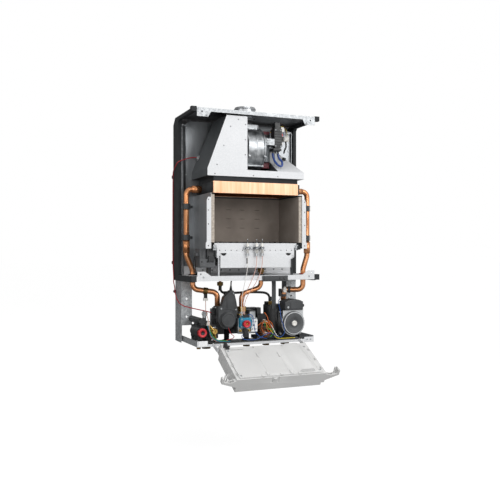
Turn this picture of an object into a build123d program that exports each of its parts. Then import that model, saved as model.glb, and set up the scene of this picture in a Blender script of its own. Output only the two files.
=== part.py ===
from build123d import *
from math import cos, radians, sin, tan
import os

# Wall-hung combination boiler with its front casing off and its control panel swung down.
# Millimetres. X across, -Y out from the wall (the wall is Y = 0), Z up.
# The origin is on the wall, midway between the two hanging slots.
# Heights are written above the foot of the frame, and up() turns them into Z.

os.makedirs("parts", exist_ok=True)

# ---- frame and sheet metal ----
hang_height = 646.0
hang_spacing = 300.0
slot_length, slot_width = 16.0, 10.0
sheet = 1.0
seat = 0.3  # the gap left between pieces that rest on each other
roof_height = 685.5
frame_depth = 200.0  # wall to the plane of the front flanges
back_half = 183.0  # half the width of the sealed chamber's back panel, which sets the frame's width
flange_half = back_half + 5.5
roof_lip = 10.5
roof_slope = 20.0  # the roof turns down over this much at the wall
# the chamber floor, which carries the seals, the burner and the legs' tops
floor_height, floor_lip = 204.6, 14.0
seal_foot = floor_height - 17.6
upright_web, upright_depth = back_half + 4, 43.0
leg_web, leg_depth, leg_top = back_half + 9, 62.0, seal_foot - 0.6  # the wider channel below the chamber
upright_face, upright_return = 33.0, 15.0
upright_cut = 52.0  # below this the front face of an upright is cut away
rail_low, rail_high, rail_sheet = 604.0, 663.0, 2.0
tab_hole = 2.2

# ---- sealed chamber ----
back_front = 45.0  # wall to the front of the back panel
back_fold = 7.0
back_low, back_high = floor_height + 1.4, 674.0
floor_half = back_half + 4
seal_out, seal_thick = back_half + 17, 11.0
seal_depth, seal_reach = 52.0, 185.0
seal_roof_arm, seal_floor_arm = 12.0, 17.0
cap_out, cap_long = seal_out + 5, 14.7
flue_y = -98.0
flue_bore, flue_wall, flue_top = 30.0, 1.5, 716.0
vessel_half, vessel_low, vessel_high = 150.0, floor_height + 7.4, 594.0
vessel_thick = 39.0
vessel_tube = 4.0
vessel_x, vessel_y = -82.0, -100.0  # where its tube takes the hose

# ---- fume hood and fan ----
hood_foot, hood_knee, hood_top = 494.0, 514.6, 671.0
hood_half, hood_top_half = 154.6, 95.7
hood_front, hood_sheet = 193.0, 1.2
hood_rise = 604.0  # height of the slanted wall where it meets the back
recess_left, recess_right = -31.0, 68.0
skirt_half, skirt_front, skirt_back = 134.5, 189.0, 57.0
fan_y, fan_height, fan_radius = -123.0, 585.0, 62.0
fan_left, fan_right, fan_wall = -24.5, 32.5, 2.0
inlet_radius = 34.0
spigot_radius, spigot_top = 26.0, 684.0
wheel_radius, wheel_blades = 50.0, 24
shaft_radius, shaft_gap = 3.0, 0.4
rotor_radius, rotor_gap = 14.0, 0.5
stack_left, stack_right = 40.0, 60.0
stack_half = 28.0
coil_low, coil_high = 40.0, 56.0  # from the shaft
switch_x, switch_y = (63.0, 88.0), (-178.7, -152.0)
switch_low, switch_high = 578.0, 664.0
hose_radius = 3.2

# ---- heat exchanger and combustion chamber ----
exchanger_half, exchanger_low, exchanger_high = 135.8, 445.0, 479.0
exchanger_front, exchanger_back = 191.0, 55.0
water_tube, tube_pitch, tube_height = 8.0, 26.0, 461.0
header_thick = 6.7
fin_count, fin_pitch, fin_thick = 46, 5.6, 0.5
casing_half, casing_low, casing_high = 146.5, floor_height + 79.4, 444.7
casing_front = 199.0
flange_out = 159.0
board_thick, board_low, board_high = 10.0, casing_low + 18, 440.0

# ---- burner ----
blade_count, blade_pitch, blade_width = 14, 17.8, 11.0
blade_front, blade_back = 165.0, 64.0
apron_half, apron_low, apron_tall = 114.0, floor_height + 23.4, 43.0
apron_high = apron_low + apron_tall
tray_half, tray_low, tray_high, tray_front = 124.0, apron_low + 35, apron_low + 72, 188.0
blade_low, blade_high = tray_low - 1, tray_high + 4
nozzle_height = apron_low + 15
electrode_x, electrode_y = (-32.0, -3.0, 15.0), -197.0
electrode_radius, electrode_low, electrode_high = 3.6, tray_low - 1, tray_high + 8
lead_diameter = 2.0

# ---- pipes ----
heating_pipe, gas_tube, pipe_wall = 8.0, 7.0, 1.0
pipe_x, gas_x, gas_y = back_half + 5, 31.0, -150.0
flow_y, return_y = -97.0, -149.0
elbow = 18.0
valve_inlet_x = -33.0
clip_heights = (floor_height + 112.4, 409.0)
clip_tall, clip_wall, clip_gap = 16.0, 3.4, 0.2
flow_drop, return_drop = pipe_x - 20, pipe_x - 14  # where the two pipes pass the floor
grommet_wall, grommet_flange = 2.6, 5.0
nut_places = {"gas_top": (gas_x, gas_y, nozzle_height - 31, 11.0, 12.7),
              "gas_valve": (valve_inlet_x, gas_y, 97.0, 16.0, 14.0),
              "hose_top": (vessel_x, vessel_y, floor_height - 32.6, 10.0, 11.0),
              "hose_end": (84.0, -100.0, 112.2, 8.0, 8.0)}

# ---- water groups, pump and gas valve ----
group_foot = 9.3
ports = {"flow": -130.0, "hot_water": -65.0, "gas": 0.0, "cold_water": 65.0, "heating_return": 130.0}
wide_ports = ("flow", "heating_return")
port_y, port_foot = -110.0, -14.0
port_radius, wide_radius = 10.5, 13.2
plate_floor, plate_sheet = 3.0, 2.0
motor_x, motor_height = -84.5, 76.0  # diverter motor
relief_x, relief_height, relief_radius = -170.0, 43.0, 12.8
drain_x, drain_height, drain_front = -160.0, 72.0, -158.0
filling_x, filling_height, filling_front = -128.0, 44.0, -173.0
group_face = -150.0
valve_x, valve_y = (-54.0, 9.0), (-175.0, -101.0)
valve_low, valve_high = 36.0, 78.0
solenoid_x, solenoid_low, solenoid_top = (-52.0, -14.0), 51.0, 81.0
cap_x, cap_height = -34.5, 63.5
pump_x, pump_height = 123.7, 58.5
pump_back, pump_front, pump_face_y = -150.0, -182.0, -190.0
pump_radius, face_radius = 38.5, 35.7
pump_shaft, pump_rotor_radius, pump_wheel = 4.0, 15.0, 30.0
vent_radius, vent_gap = 8.0, 0.15
riser_x, riser_y = 118.0, -125.0
separator_x, separator_y, separator_radius, separator_top = 88.0, -112.0, 30.0, 112.0
vent_cap_x = 66.0

# ---- control panel, given from its hinge: u along it, v out through its back cover ----
hinge_y, hinge_height = -230.0, -2.0
open_below = 27.8  # degrees below level, as the panel hangs when open
tray_out, tray_wall = 134.0, 3.0
panel_near, panel_far = 8.0, 152.5
fascia_v, rim_v = -28.0, 12.0
cover_half, cover_far = 124.8, 148.5
ridge_rise = 10.0
ear_tip, ear_thick = 176.0, 12.0
pin_radius, pin_gap = 2.5, 0.3
knob_u, knob_x = 82.0, (-60.0, 0.0)
knob_radius, knob_tall, spindle_radius, spindle_gap = 17.0, 14.0, 3.0, 0.3
gauge_x, gauge_radius = 75.0, 20.0
board_u, board_half, board_v = (36.0, 132.0), 104.0, -8.0

front_y = -frame_depth
back_y = -back_front


def up(height):
    """Z of a height above the foot of the frame."""
    return height - hang_height


def facing(y):
    """Upright plane at a distance from the wall, drawn as seen from the front."""
    return Plane.XZ.offset(-y)


def block(x, y, height, mode=Mode.ADD):
    """Box between two places across, two from the wall and two heights."""
    with Locations(((x[0] + x[1]) / 2, (y[0] + y[1]) / 2, up((height[0] + height[1]) / 2))):
        Box(abs(x[1] - x[0]), abs(y[1] - y[0]), abs(height[1] - height[0]), mode=mode)


def rod(radius, start, end, mode=Mode.ADD):
    """Round bar between two places given as x, y, height."""
    low = Vector(start[0], start[1], up(start[2]))
    high = Vector(end[0], end[1], up(end[2]))
    with Locations(Plane(origin=(low + high) * 0.5, z_dir=high - low)):
        Cylinder(radius, (high - low).length, mode=mode)


def heights(points):
    """Outline points with their second value turned from a height into Z."""
    return [(across, up(height)) for across, height in points]


def run(points, bends, radius, bore=0.0):
    """Tube along straight runs joined by bends, from places given as x, y, height."""
    route_points = [(x, y, up(height)) for x, y, height in points]
    with BuildPart() as tube:
        with BuildLine() as route:
            FilletPolyline(*route_points, radius=bends)
        with BuildSketch(Plane(origin=route.line @ 0, z_dir=route.line % 0)):
            Circle(radius)
            if bore:
                Circle(bore, mode=Mode.SUBTRACT)
        sweep(path=route.line)
    return tube.part


def lead(points, diameter):
    """Wire whose every corner is as large an arc as its two runs allow."""
    bends = []
    for before, corner, after in zip(points, points[1:], points[2:]):
        arriving, leaving = Vector(corner) - Vector(before), Vector(after) - Vector(corner)
        half_turn = radians(arriving.get_angle(leaving)) / 2
        bends.append(0.45 * min(arriving.length, leaving.length) / tan(half_turn))
    return run(points, bends, diameter / 2)


def finish(built, name):
    built.part.label = name
    export_step(built.part, f"parts/{name}.step")


# ---- uprights: folded channels that stand on the wall ----
upright_top = roof_height - roof_slope - 1.5
for name, side in (("left_upright", -1), ("right_upright", 1)):
    web_out, leg_out = side * (upright_web + sheet), side * (leg_web + sheet)
    return_x = side * (upright_web - upright_return)
    with BuildPart() as upright:
        block((side * upright_web, web_out), (-upright_depth, 0), (leg_top - sheet, upright_top))
        block((web_out, side * (upright_web - upright_face)), (-upright_depth, sheet - upright_depth),
              (leg_top - sheet, upright_top))
        block((leg_out, return_x), (-sheet, 0), (0, leg_top))
        block((web_out, return_x), (-sheet, 0), (leg_top, upright_top))
        block((side * leg_web, leg_out), (-leg_depth, 0), (0, leg_top))
        block((leg_out, side * (leg_web - upright_face)), (-leg_depth, sheet - leg_depth),
              (upright_cut, leg_top))
        block((leg_out, side * (leg_web - upright_face)), (-leg_depth, 0), (leg_top - sheet, leg_top))
        for height in (upright_cut + 26, upright_cut + 80):
            rod(3, (side * (leg_web - 16), -leg_depth - 1, height),
                (side * (leg_web - 16), sheet - leg_depth + 1, height), Mode.SUBTRACT)
    finish(upright, name)

# ---- hanging rail with its two slots ----
rail_half = upright_web - upright_return - seat
with BuildPart() as hanging_rail:
    block((-rail_half, rail_half), (-rail_sheet, 0), (rail_low, rail_high))
    for edge in ((rail_low, rail_low + rail_sheet), (rail_high - rail_sheet, rail_high)):
        block((-rail_half, rail_half), (-9, -rail_sheet), edge)
    with BuildSketch(facing(0)):
        with Locations((-hang_spacing / 2, 0), (hang_spacing / 2, 0)):
            SlotOverall(slot_length, slot_width)
    extrude(amount=rail_sheet, mode=Mode.SUBTRACT)
finish(hanging_rail, "hanging_rail")

# ---- roof: sheet with a front lip, turned-down back and two end tabs ----
slope_inner = roof_height - sheet
with BuildPart() as roof_plate:
    with BuildSketch(Plane.YZ.offset(-flange_half)):
        Polygon(*heights([
            (front_y, roof_height - roof_lip), (front_y, roof_height),
            (-roof_slope, roof_height), (0, roof_height - roof_slope),
            (-1.4 * sheet, roof_height - roof_slope), (-roof_slope - 0.4 * sheet, slope_inner),
            (front_y + sheet, slope_inner), (front_y + sheet, roof_height - roof_lip)]), align=None)
    extrude(amount=2 * flange_half)
    for side in (-1, 1):
        with BuildSketch(facing(front_y + sheet)):
            Polygon(*heights([
                (side * flange_half, roof_height - roof_lip), (side * flange_half, roof_height - 25.5),
                (side * (flange_half - 33.5), roof_height - 25.5),
                (side * (flange_half - 42.1), roof_height - roof_lip)]), align=None)
        extrude(amount=sheet)
        for x, drop in ((flange_half - 15, 12.0), (flange_half - 28.5, 21.5)):
            rod(tab_hole, (side * x, front_y - 1, roof_height - drop),
                (side * x, front_y + 3, roof_height - drop), Mode.SUBTRACT)
    rod(flue_bore + flue_wall + 1, (0, flue_y, roof_height - 3), (0, flue_y, roof_height + 3),
        Mode.SUBTRACT)
finish(roof_plate, "roof_plate")

# ---- flue collar: a flanged ring that takes the flue pipe ----
with BuildPart() as flue_collar:
    rod(flue_bore + flue_wall, (0, flue_y, roof_height), (0, flue_y, flue_top))
    rod(flue_bore + 14, (0, flue_y, roof_height), (0, flue_y, roof_height + flue_wall))
    with BuildSketch(Plane.XZ.offset(-flue_y)):
        with Locations((flue_bore + flue_wall, up(flue_top - 5))):
            Circle(2.2)
    revolve(axis=Axis((0, flue_y, 0), (0, 0, 1)))
    rod(flue_bore, (0, flue_y, roof_height - 1), (0, flue_y, flue_top + 1), Mode.SUBTRACT)
finish(flue_collar, "flue_collar")

# ---- back panel of the sealed chamber ----
with BuildPart() as back_panel:
    with BuildSketch(facing(back_y + sheet)):
        Polygon(*heights([
            (-back_half, back_low), (back_half, back_low), (back_half, back_high - 16),
            (back_half - 22, back_high), (22 - back_half, back_high), (-back_half, back_high - 16)]),
            align=None)
        with Locations(*heights([(x * side, height) for side in (-1, 1) for x in (back_half - 11, 60)
                                 for height in (back_low + 34, 330, 420, 510, 600, 655)])):
            Circle(1.5, mode=Mode.SUBTRACT)
    extrude(amount=sheet)
    for side in (-1, 1):
        block((side * back_half, side * (back_half - sheet)), (back_y, back_y - back_fold),
              (back_low, back_high - 16))
finish(back_panel, "back_panel")

# ---- chamber floor: sheet with a front lip, end tabs and a punched strip at the back ----
floor_top = floor_height
strip_y, strip_half = back_y - 2 - seat, back_half - 2 * sheet
with BuildPart() as chamber_floor:
    block((-floor_half, floor_half), (front_y, strip_y), (floor_top - sheet, floor_top))
    block((-floor_half, floor_half), (front_y, front_y + sheet), (floor_top - floor_lip, floor_top))
    block((-strip_half, strip_half), (strip_y - sheet, strip_y), (floor_top, floor_top + 26))
    for side in (-1, 1):
        with BuildSketch(facing(front_y + sheet)):
            Polygon(*heights([
                (side * floor_half, floor_top), (side * floor_half, floor_top + 13.4),
                (side * (floor_half - 22), floor_top + 13.4), (side * (floor_half - 42), floor_top)]),
                align=None)
        extrude(amount=sheet)
        for x, rise in ((floor_half - 10, 6.4), (floor_half - 18, -3.0)):
            rod(tab_hole, (side * x, front_y - 1, floor_top + rise),
                (side * x, front_y + 3, floor_top + rise), Mode.SUBTRACT)
    for x, y, radius in ((-flow_drop, flow_y, heating_pipe + grommet_wall),
                         (return_drop, return_y, heating_pipe + grommet_wall),
                         (gas_x, gas_y, gas_tube + grommet_wall)):
        rod(radius, (x, y, floor_top - 5), (x, y, floor_top + 5), Mode.SUBTRACT)
    with Locations(*[(x, strip_y, up(floor_top + 13)) for x in range(-150, 151, 30)]):
        Box(5, 6, 5, mode=Mode.SUBTRACT)
finish(chamber_floor, "chamber_floor")

# ---- side seals: each an upright bar with an arm along the roof and one along the floor ----
with BuildPart() as side_seals:
    for side in (-1, 1):
        with BuildSketch(Plane.YZ.offset(side * seal_out)):
            Polygon(*heights([
                (0, seal_foot), (-seal_reach, seal_foot), (-seal_reach, seal_foot + seal_floor_arm),
                (-seal_depth, seal_foot + seal_floor_arm), (-seal_depth, roof_height - seal_roof_arm - 8),
                (-seal_depth - 8, roof_height - seal_roof_arm), (-seal_reach, roof_height - seal_roof_arm),
                (-seal_reach, roof_height), (-roof_slope, roof_height), (0, roof_height - roof_slope)]),
                align=None)
        extrude(amount=-side * seal_thick)
        fillet(side_seals.faces().sort_by(Axis.X)[0 if side < 0 else -1].edges(), 1.5)
finish(side_seals, "side_seals")

# ---- end caps on the four seal arms ----
with BuildPart() as seal_end_caps:
    for side in (-1, 1):
        for low, high in ((seal_foot + 2, seal_foot + seal_floor_arm + 2),
                          (roof_height - seal_roof_arm, roof_height + 2)):
            block((side * (flange_half + seat), side * cap_out),
                  (-seal_reach - seat, -seal_reach - seat - cap_long), (low, high))
    fillet(seal_end_caps.edges().filter_by(Axis.Z), 1.5)
finish(seal_end_caps, "seal_end_caps")

# ---- expansion vessel: flat pressed tank behind the back panel, with its tube under the floor ----
tube_level = floor_height - 10.6  # the vessel's tube runs forward under the chamber floor
with BuildPart() as expansion_vessel:
    block((-vessel_half, vessel_half), (-vessel_thick - 2, -2), (vessel_low, vessel_high))
    fillet(expansion_vessel.edges().filter_by(Axis.Y), 40)
    fillet(expansion_vessel.faces().sort_by(Axis.Y)[0].edges(), 12)
    fillet(expansion_vessel.faces().sort_by(Axis.Y)[-1].edges(), 12)
    rod(vessel_tube, (vessel_x, -22, tube_level - 2), (vessel_x, -22, vessel_low + 3))
    rod(vessel_tube, (vessel_x, vessel_tube - 22, tube_level),
        (vessel_x, vessel_y - vessel_tube, tube_level))
    rod(vessel_tube, (vessel_x, vessel_y, nut_places["hose_top"][2] + 3),
        (vessel_x, vessel_y, tube_level + 2))
finish(expansion_vessel, "expansion_vessel")


# ---- fume hood ----
def hood_body(inset):
    """Solid hood with every wall moved in by inset, and its foot lowered where it is hollowed."""
    foot = hood_foot - 3 * inset
    rear, face = back_y - seat - inset, -hood_front + inset
    with BuildPart() as body:
        with BuildSketch(facing(rear)):
            Polygon(*heights([
                (inset - hood_half, foot), (hood_half - inset, foot), (hood_half - inset, hood_knee),
                (hood_top_half - inset, hood_top - inset), (inset - hood_top_half, hood_top - inset),
                (inset - hood_half, hood_knee)]), align=None)
        extrude(amount=rear - face)
        block((recess_left - inset, recess_right + inset), (0, front_y - 10),
              (hood_knee - inset, hood_top + 10), Mode.SUBTRACT)
        with BuildSketch(Plane.YZ.offset(recess_right + inset - 0.1)):
            Polygon(*heights([
                (face - 20, hood_knee - inset), (face, hood_knee - inset), (rear + 6, hood_rise - inset),
                (rear + 6, hood_top + 10), (face - 20, hood_top + 10)]), align=None)
        extrude(amount=2 * hood_half, mode=Mode.SUBTRACT)
        with BuildSketch(Plane.YZ.offset(-2 * hood_half)):
            Polygon(*heights([(rear, 545), (rear + 20, 545), (rear + 20, hood_top + 10),
                              (rear - 36, hood_top + 10)]), align=None)
        extrude(amount=4 * hood_half, mode=Mode.SUBTRACT)
    return body.part


hood_outer, hood_inner = hood_body(0.0), hood_body(hood_sheet)
with BuildPart() as fume_hood:
    add(hood_outer)
    add(hood_inner, mode=Mode.SUBTRACT)
    block((-hood_half, hood_half), (-hood_front, back_y - seat), (hood_foot, hood_foot + hood_sheet))
    block((-skirt_half, skirt_half), (-skirt_front, -skirt_back),
          (exchanger_high + seat, hood_foot + hood_sheet))
    block((hood_sheet - skirt_half, skirt_half - hood_sheet),
          (hood_sheet - skirt_front, -skirt_back - hood_sheet),
          (exchanger_high, hood_foot + 2 * hood_sheet), Mode.SUBTRACT)
    rod(inlet_radius, (recess_left - 5, fan_y, fan_height), (recess_left + 1, fan_y, fan_height),
        Mode.SUBTRACT)
finish(fume_hood, "fume_hood")

# ---- fan housing: cast scroll with an inlet ring, an outlet throat and a clamp band ----
throat_y = (flue_y - 29, flue_y + 29)
with BuildPart() as fan_housing:
    rod(fan_radius, (fan_left, fan_y, fan_height), (fan_right, fan_y, fan_height))
    block((fan_left, fan_right), throat_y, (fan_height, fan_height + 76))
    rod(spigot_radius, (0, flue_y, fan_height + 70), (0, flue_y, spigot_top))
    rod(spigot_radius + 2.5, (0, flue_y, fan_height + 80), (0, flue_y, fan_height + 88))
    rod(inlet_radius + 5, (recess_left + seat, fan_y, fan_height), (fan_left + 1, fan_y, fan_height))
    rod(fan_radius - fan_wall, (fan_left + fan_wall, fan_y, fan_height),
        (fan_right - fan_wall, fan_y, fan_height), Mode.SUBTRACT)
    block((fan_left + fan_wall, fan_right - fan_wall), (throat_y[0] + fan_wall, throat_y[1] - fan_wall),
          (fan_height, fan_height + 74), Mode.SUBTRACT)
    rod(spigot_radius - fan_wall, (0, flue_y, fan_height + 69), (0, flue_y, spigot_top + 1), Mode.SUBTRACT)
    rod(inlet_radius, (recess_left - 1, fan_y, fan_height), (fan_left + 3, fan_y, fan_height),
        Mode.SUBTRACT)
    rod(shaft_radius + shaft_gap, (fan_right - 3, fan_y, fan_height), (fan_right + 1, fan_y, fan_height),
        Mode.SUBTRACT)
    for turn in (35, 125, 235, 325):
        boss_y = fan_y + (fan_radius + 3) * cos(radians(turn))
        boss_height = fan_height + (fan_radius + 3) * sin(radians(turn))
        if boss_height < fan_height:
            rod(4, (fan_left, boss_y, boss_height), (fan_right, boss_y, boss_height))
finish(fan_housing, "fan_housing")

# ---- fan wheel with its shaft and the motor's rotor ----
wheel_left, wheel_right = fan_left + 6, fan_right - 6
with BuildPart() as fan_wheel:
    rod(wheel_radius, (wheel_right - 1.2, fan_y, fan_height), (wheel_right, fan_y, fan_height))
    rod(wheel_radius, (wheel_left, fan_y, fan_height), (wheel_left + 1.2, fan_y, fan_height))
    rod(wheel_radius - 9, (wheel_left - 1, fan_y, fan_height), (wheel_left + 2, fan_y, fan_height),
        Mode.SUBTRACT)
    with BuildSketch(Plane.YZ.offset(wheel_left)):
        with Locations((fan_y, up(fan_height))):
            with PolarLocations(wheel_radius - 4.6, wheel_blades):
                Rectangle(8, 1, rotation=35)
    extrude(amount=wheel_right - wheel_left)
    rod(8, (wheel_right - 12, fan_y, fan_height), (wheel_right, fan_y, fan_height))
    rod(shaft_radius, (wheel_right - 1, fan_y, fan_height), (stack_right + 6, fan_y, fan_height))
    rod(rotor_radius, (stack_left + 1, fan_y, fan_height), (stack_right - 1, fan_y, fan_height))
finish(fan_wheel, "fan_wheel")

# ---- fan motor: laminations, two coils, end bridge and the strap to the scroll ----
with BuildPart() as fan_motor:
    block((stack_left, stack_right), (fan_y - stack_half, fan_y + stack_half),
          (fan_height - coil_low, fan_height + coil_low))
    fillet(fan_motor.edges().filter_by(Axis.X), 4)
    rod(rotor_radius + rotor_gap, (stack_left - 1, fan_y, fan_height), (stack_right + 1, fan_y, fan_height),
        Mode.SUBTRACT)
    for side in (-1, 1):
        block((stack_left - 3, stack_right + 3), (fan_y - 18, fan_y + 18),
              (fan_height + side * coil_low, fan_height + side * coil_high))
        block((fan_right + seat, stack_left), (fan_y + side * 22, fan_y + side * 26),
              (fan_height - 6, fan_height + 6))
    block((stack_right, stack_right + 8), (fan_y - 24, fan_y + 24), (fan_height - 7, fan_height + 7))
    rod(shaft_radius + shaft_gap, (stack_right - 1, fan_y, fan_height),
        (stack_right + 9, fan_y, fan_height),
        Mode.SUBTRACT)
    rod(rotor_radius + rotor_gap, (stack_right - 1, fan_y, fan_height),
        (stack_right + 1.5, fan_y, fan_height),
        Mode.SUBTRACT)
    block((fan_right + 3, stack_right + 2), (-181, -179), (fan_height + 9, fan_height + 28))
    block((stack_right, stack_right + 2), (-180, fan_y - 10), (fan_height + 9, fan_height + 28))
finish(fan_motor, "fan_motor")

# ---- air pressure switch behind the strap ----
nipple_y = switch_y[0] + 13
with BuildPart() as pressure_switch:
    block(switch_x, switch_y, (switch_low + 12, switch_high - 19))
    block((switch_x[0] - 4, switch_x[1] - 3), switch_y, (switch_low, switch_low + 8))
    block((switch_x[0] + 3, switch_x[1] - 5), (switch_y[0] + 2, switch_y[1] - 4),
          (switch_low + 8, switch_high))
    for x in (switch_x[0], switch_x[0] + 9, switch_x[0] + 18):
        rod(2.2, (x, nipple_y, switch_low - 6), (x, nipple_y, switch_low + 1))
finish(pressure_switch, "pressure_switch")

# ---- silicone tubes of the pressure switch, hanging in front of the slanted wall ----
tube_top = switch_low - 6 - 2 * seat
blue_hose = lead([(63, nipple_y, tube_top), (63.3, -167, 556), (73, -178, 535), (88, -181, 530.5),
                  (91.5, -173, 548), (81.3, -166.5, 558), (81, nipple_y, tube_top)], 2 * hose_radius)
clear_hose = lead([(72, nipple_y, tube_top), (73, -163.5, 557), (75.5, -160.5, 546),
                   (76, -160, 535.5)], 2 * hose_radius)
with BuildPart() as pressure_tubes:
    add([blue_hose, clear_hose])
finish(pressure_tubes, "pressure_tubes")

# ---- copper heat exchanger: shell, water tubes and black end headers ----
tube_middle = -(exchanger_front + exchanger_back) / 2
tube_places = [tube_middle + tube_pitch * step for step in (-2, -1, 0, 1, 2)]
with BuildPart() as heat_exchanger:
    block((-exchanger_half, exchanger_half), (-exchanger_front, -exchanger_back),
          (exchanger_low, exchanger_high))
    block((sheet - exchanger_half, exchanger_half - sheet), (sheet - exchanger_front,
                                                             -exchanger_back - sheet),
          (exchanger_low - 1, exchanger_high + 1), Mode.SUBTRACT)
    for y in tube_places:
        rod(water_tube, (-exchanger_half, y, tube_height), (exchanger_half, y, tube_height))
    for side in (-1, 1):
        block((side * exchanger_half, side * (exchanger_half + header_thick)),
              (4 - exchanger_front, -exchanger_back - 4), (exchanger_low + 2, exchanger_high - 2))
    for y in tube_places:
        rod(water_tube - sheet, (-exchanger_half - header_thick / 2, y, tube_height),
            (exchanger_half + header_thick / 2, y, tube_height), Mode.SUBTRACT)
finish(heat_exchanger, "heat_exchanger")

# ---- copper fins, threaded on the water tubes ----
with BuildPart() as exchanger_fins:
    with BuildSketch(Plane.YZ.offset(-fin_pitch * (fin_count - 1) / 2)):
        with Locations((tube_middle, up((exchanger_low + exchanger_high) / 2))):
            Rectangle(exchanger_front - exchanger_back - 2 * sheet - 2 * seat,
                      exchanger_high - exchanger_low - 2)
        with Locations(*[(y, up(tube_height)) for y in tube_places]):
            Circle(water_tube + 0.1, mode=Mode.SUBTRACT)
    extrude(amount=fin_thick)
one_fin = exchanger_fins.part
with BuildPart() as exchanger_fins:
    with Locations(*[(fin_pitch * step, 0, 0) for step in range(fin_count)]):
        add(one_fin)
finish(exchanger_fins, "exchanger_fins")

# ---- combustion casing: bent steel around three insulation boards ----
casing_back = back_y - seat
with BuildPart() as combustion_casing:
    block((-casing_half, casing_half), (-casing_front, casing_back), (casing_low, casing_high))
    block((sheet - casing_half, casing_half - sheet), (-casing_front - 1, casing_back - sheet),
          (casing_low - 1, casing_high + 1), Mode.SUBTRACT)
    for side in (-1, 1):
        inner, outer = side * (casing_half - sheet), side * casing_half
        block((inner, side * (exchanger_half - 4)), (-casing_front + 8, casing_back),
              (casing_high - sheet, casing_high))
        block((inner, side * (casing_half - board_thick + 2)), (-casing_front + 8, casing_back),
              (board_low - seat - sheet, board_low - seat))
        with BuildSketch(facing(-casing_front + sheet)):
            Polygon(*heights([
                (outer, casing_low), (side * (flange_out + 3), casing_low),
                (side * (flange_out + 3), casing_low + 16), (side * flange_out, casing_low + 20),
                (side * flange_out, casing_high - 22), (side * (flange_out - 4), casing_high - 13),
                (outer, casing_high - 13)]), align=None)
        extrude(amount=sheet)
        for height in (casing_low + 8, casing_low + 70, casing_low + 110, casing_high - 20):
            rod(1.8, (side * (flange_out - 5), -casing_front - 1, height),
                (side * (flange_out - 5), -casing_front + 3, height), Mode.SUBTRACT)
finish(combustion_casing, "combustion_casing")

board_rear = casing_back - sheet - seat
board_outer = casing_half - sheet - seat
with BuildPart() as insulation_boards:
    block((board_thick + seat - board_outer, board_outer - board_thick - seat),
          (board_rear - board_thick, board_rear), (board_low, board_high))
    for side in (-1, 1):
        block((side * board_outer, side * (board_outer - board_thick)), (-casing_front + 2, board_rear),
              (board_low, board_high))
finish(insulation_boards, "insulation_boards")

# ---- burner tray: front plates, sides, legs and the two rails that carry the blades ----
tray_back = -60.0
with BuildPart() as burner_tray:
    block((-tray_half, tray_half), (-tray_front, sheet - tray_front), (tray_low, tray_high))
    block((-apron_half, apron_half), (-tray_front - 2, -tray_front), (apron_low, apron_high))
    block((-apron_half, apron_half), (-tray_front - 2, 14 - tray_front), (apron_low, apron_low + sheet))
    for side in (-1, 1):
        block((side * tray_half, side * (tray_half - sheet)), (-tray_front, tray_back),
              (tray_low - 4, tray_high))
        block((side * (tray_half - 8), side * (tray_half - 5)), (2 - tray_front, 12 - tray_front),
              (floor_height + seat, tray_low))
        block((side * tray_half, side * (tray_half - 8)), (2 - tray_front, 3 - tray_front),
              (apron_high - 14, tray_low + 10))
        block((side * tray_half, side * (tray_half + 8)), (-tray_front, 2 - tray_front),
              (tray_high - 14, tray_high))
    for y in (-116, -76):
        block((-tray_half, tray_half), (y, y + 8), (blade_low - seat - 2, blade_low - seat))
    for step in range(blade_count):
        x = blade_pitch * (step - (blade_count - 1) / 2)
        rod(1.5, (x, -tray_front - 1, tray_high - 21), (x, 3 - tray_front, tray_high - 21), Mode.SUBTRACT)
    for x in (-104, 104):
        rod(9, (x, -tray_front - 3, apron_high + 1), (x, -tray_front - 0.5, apron_high + 1), Mode.SUBTRACT)
    block((-32, -30), (-tray_front - 3, -tray_front + 3), (apron_low + 12, apron_low + 28), Mode.SUBTRACT)
finish(burner_tray, "burner_tray")

# ---- burner blades: slotted rails with a mixing throat at the front ----
with BuildPart() as burner_blades:
    for step in range(blade_count):
        x = blade_pitch * (step - (blade_count - 1) / 2)
        block((x - blade_width / 2, x + blade_width / 2), (-blade_front, -blade_back),
              (blade_low, blade_high))
        block((x - 4, x + 4), (-blade_front, -122), (nozzle_height - 7, blade_low))
        rod(3.2, (x, -blade_front - 1, nozzle_height), (x, -130, nozzle_height), Mode.SUBTRACT)
        for slot in range(6):
            block((x - 3.5, x + 3.5), (-blade_front + 8 + slot * 15, -blade_front + 18 + slot * 15),
                  (blade_high - 4, blade_high + 1), Mode.SUBTRACT)
finish(burner_blades, "burner_blades")

# ---- gas manifold with one nozzle for each blade ----
manifold_y = (-tray_front + seat + 14, -blade_front - 1)
with BuildPart() as gas_manifold:
    block((10 - tray_half, tray_half - 10), (manifold_y[0] - 9, manifold_y[0] + 3),
          (nozzle_height - 7, nozzle_height + 7))
    for step in range(blade_count):
        x = blade_pitch * (step - (blade_count - 1) / 2)
        rod(2.4, (x, manifold_y[0] + 2, nozzle_height), (x, -blade_front - 0.6, nozzle_height))
    rod(9, (gas_x, gas_y, nozzle_height - 18), (gas_x, gas_y, nozzle_height - 9))
    block((gas_x - 5, gas_x + 5), (manifold_y[0], gas_y + 4), (nozzle_height - 16, nozzle_height - 7))
finish(gas_manifold, "gas_manifold")

# ---- spark generator beside the burner ----
with BuildPart() as spark_generator:
    block((-150, -tray_half - seat), (-175, -100), (apron_low + 12, tray_high - 16))
    fillet(spark_generator.edges().filter_by(Axis.Y), 2)
    block((-147, -tray_half - 6), (-181, -175), (apron_low + 18, apron_low + 34))
    for y in (-160, -140, -120):
        block((-151, -149), (y, y + 8), (apron_low + 16, tray_high - 20))
    block((-145, -tray_half - 10), (-165, -155), (floor_height + seat, apron_low + 12))
finish(spark_generator, "spark_generator")

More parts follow.
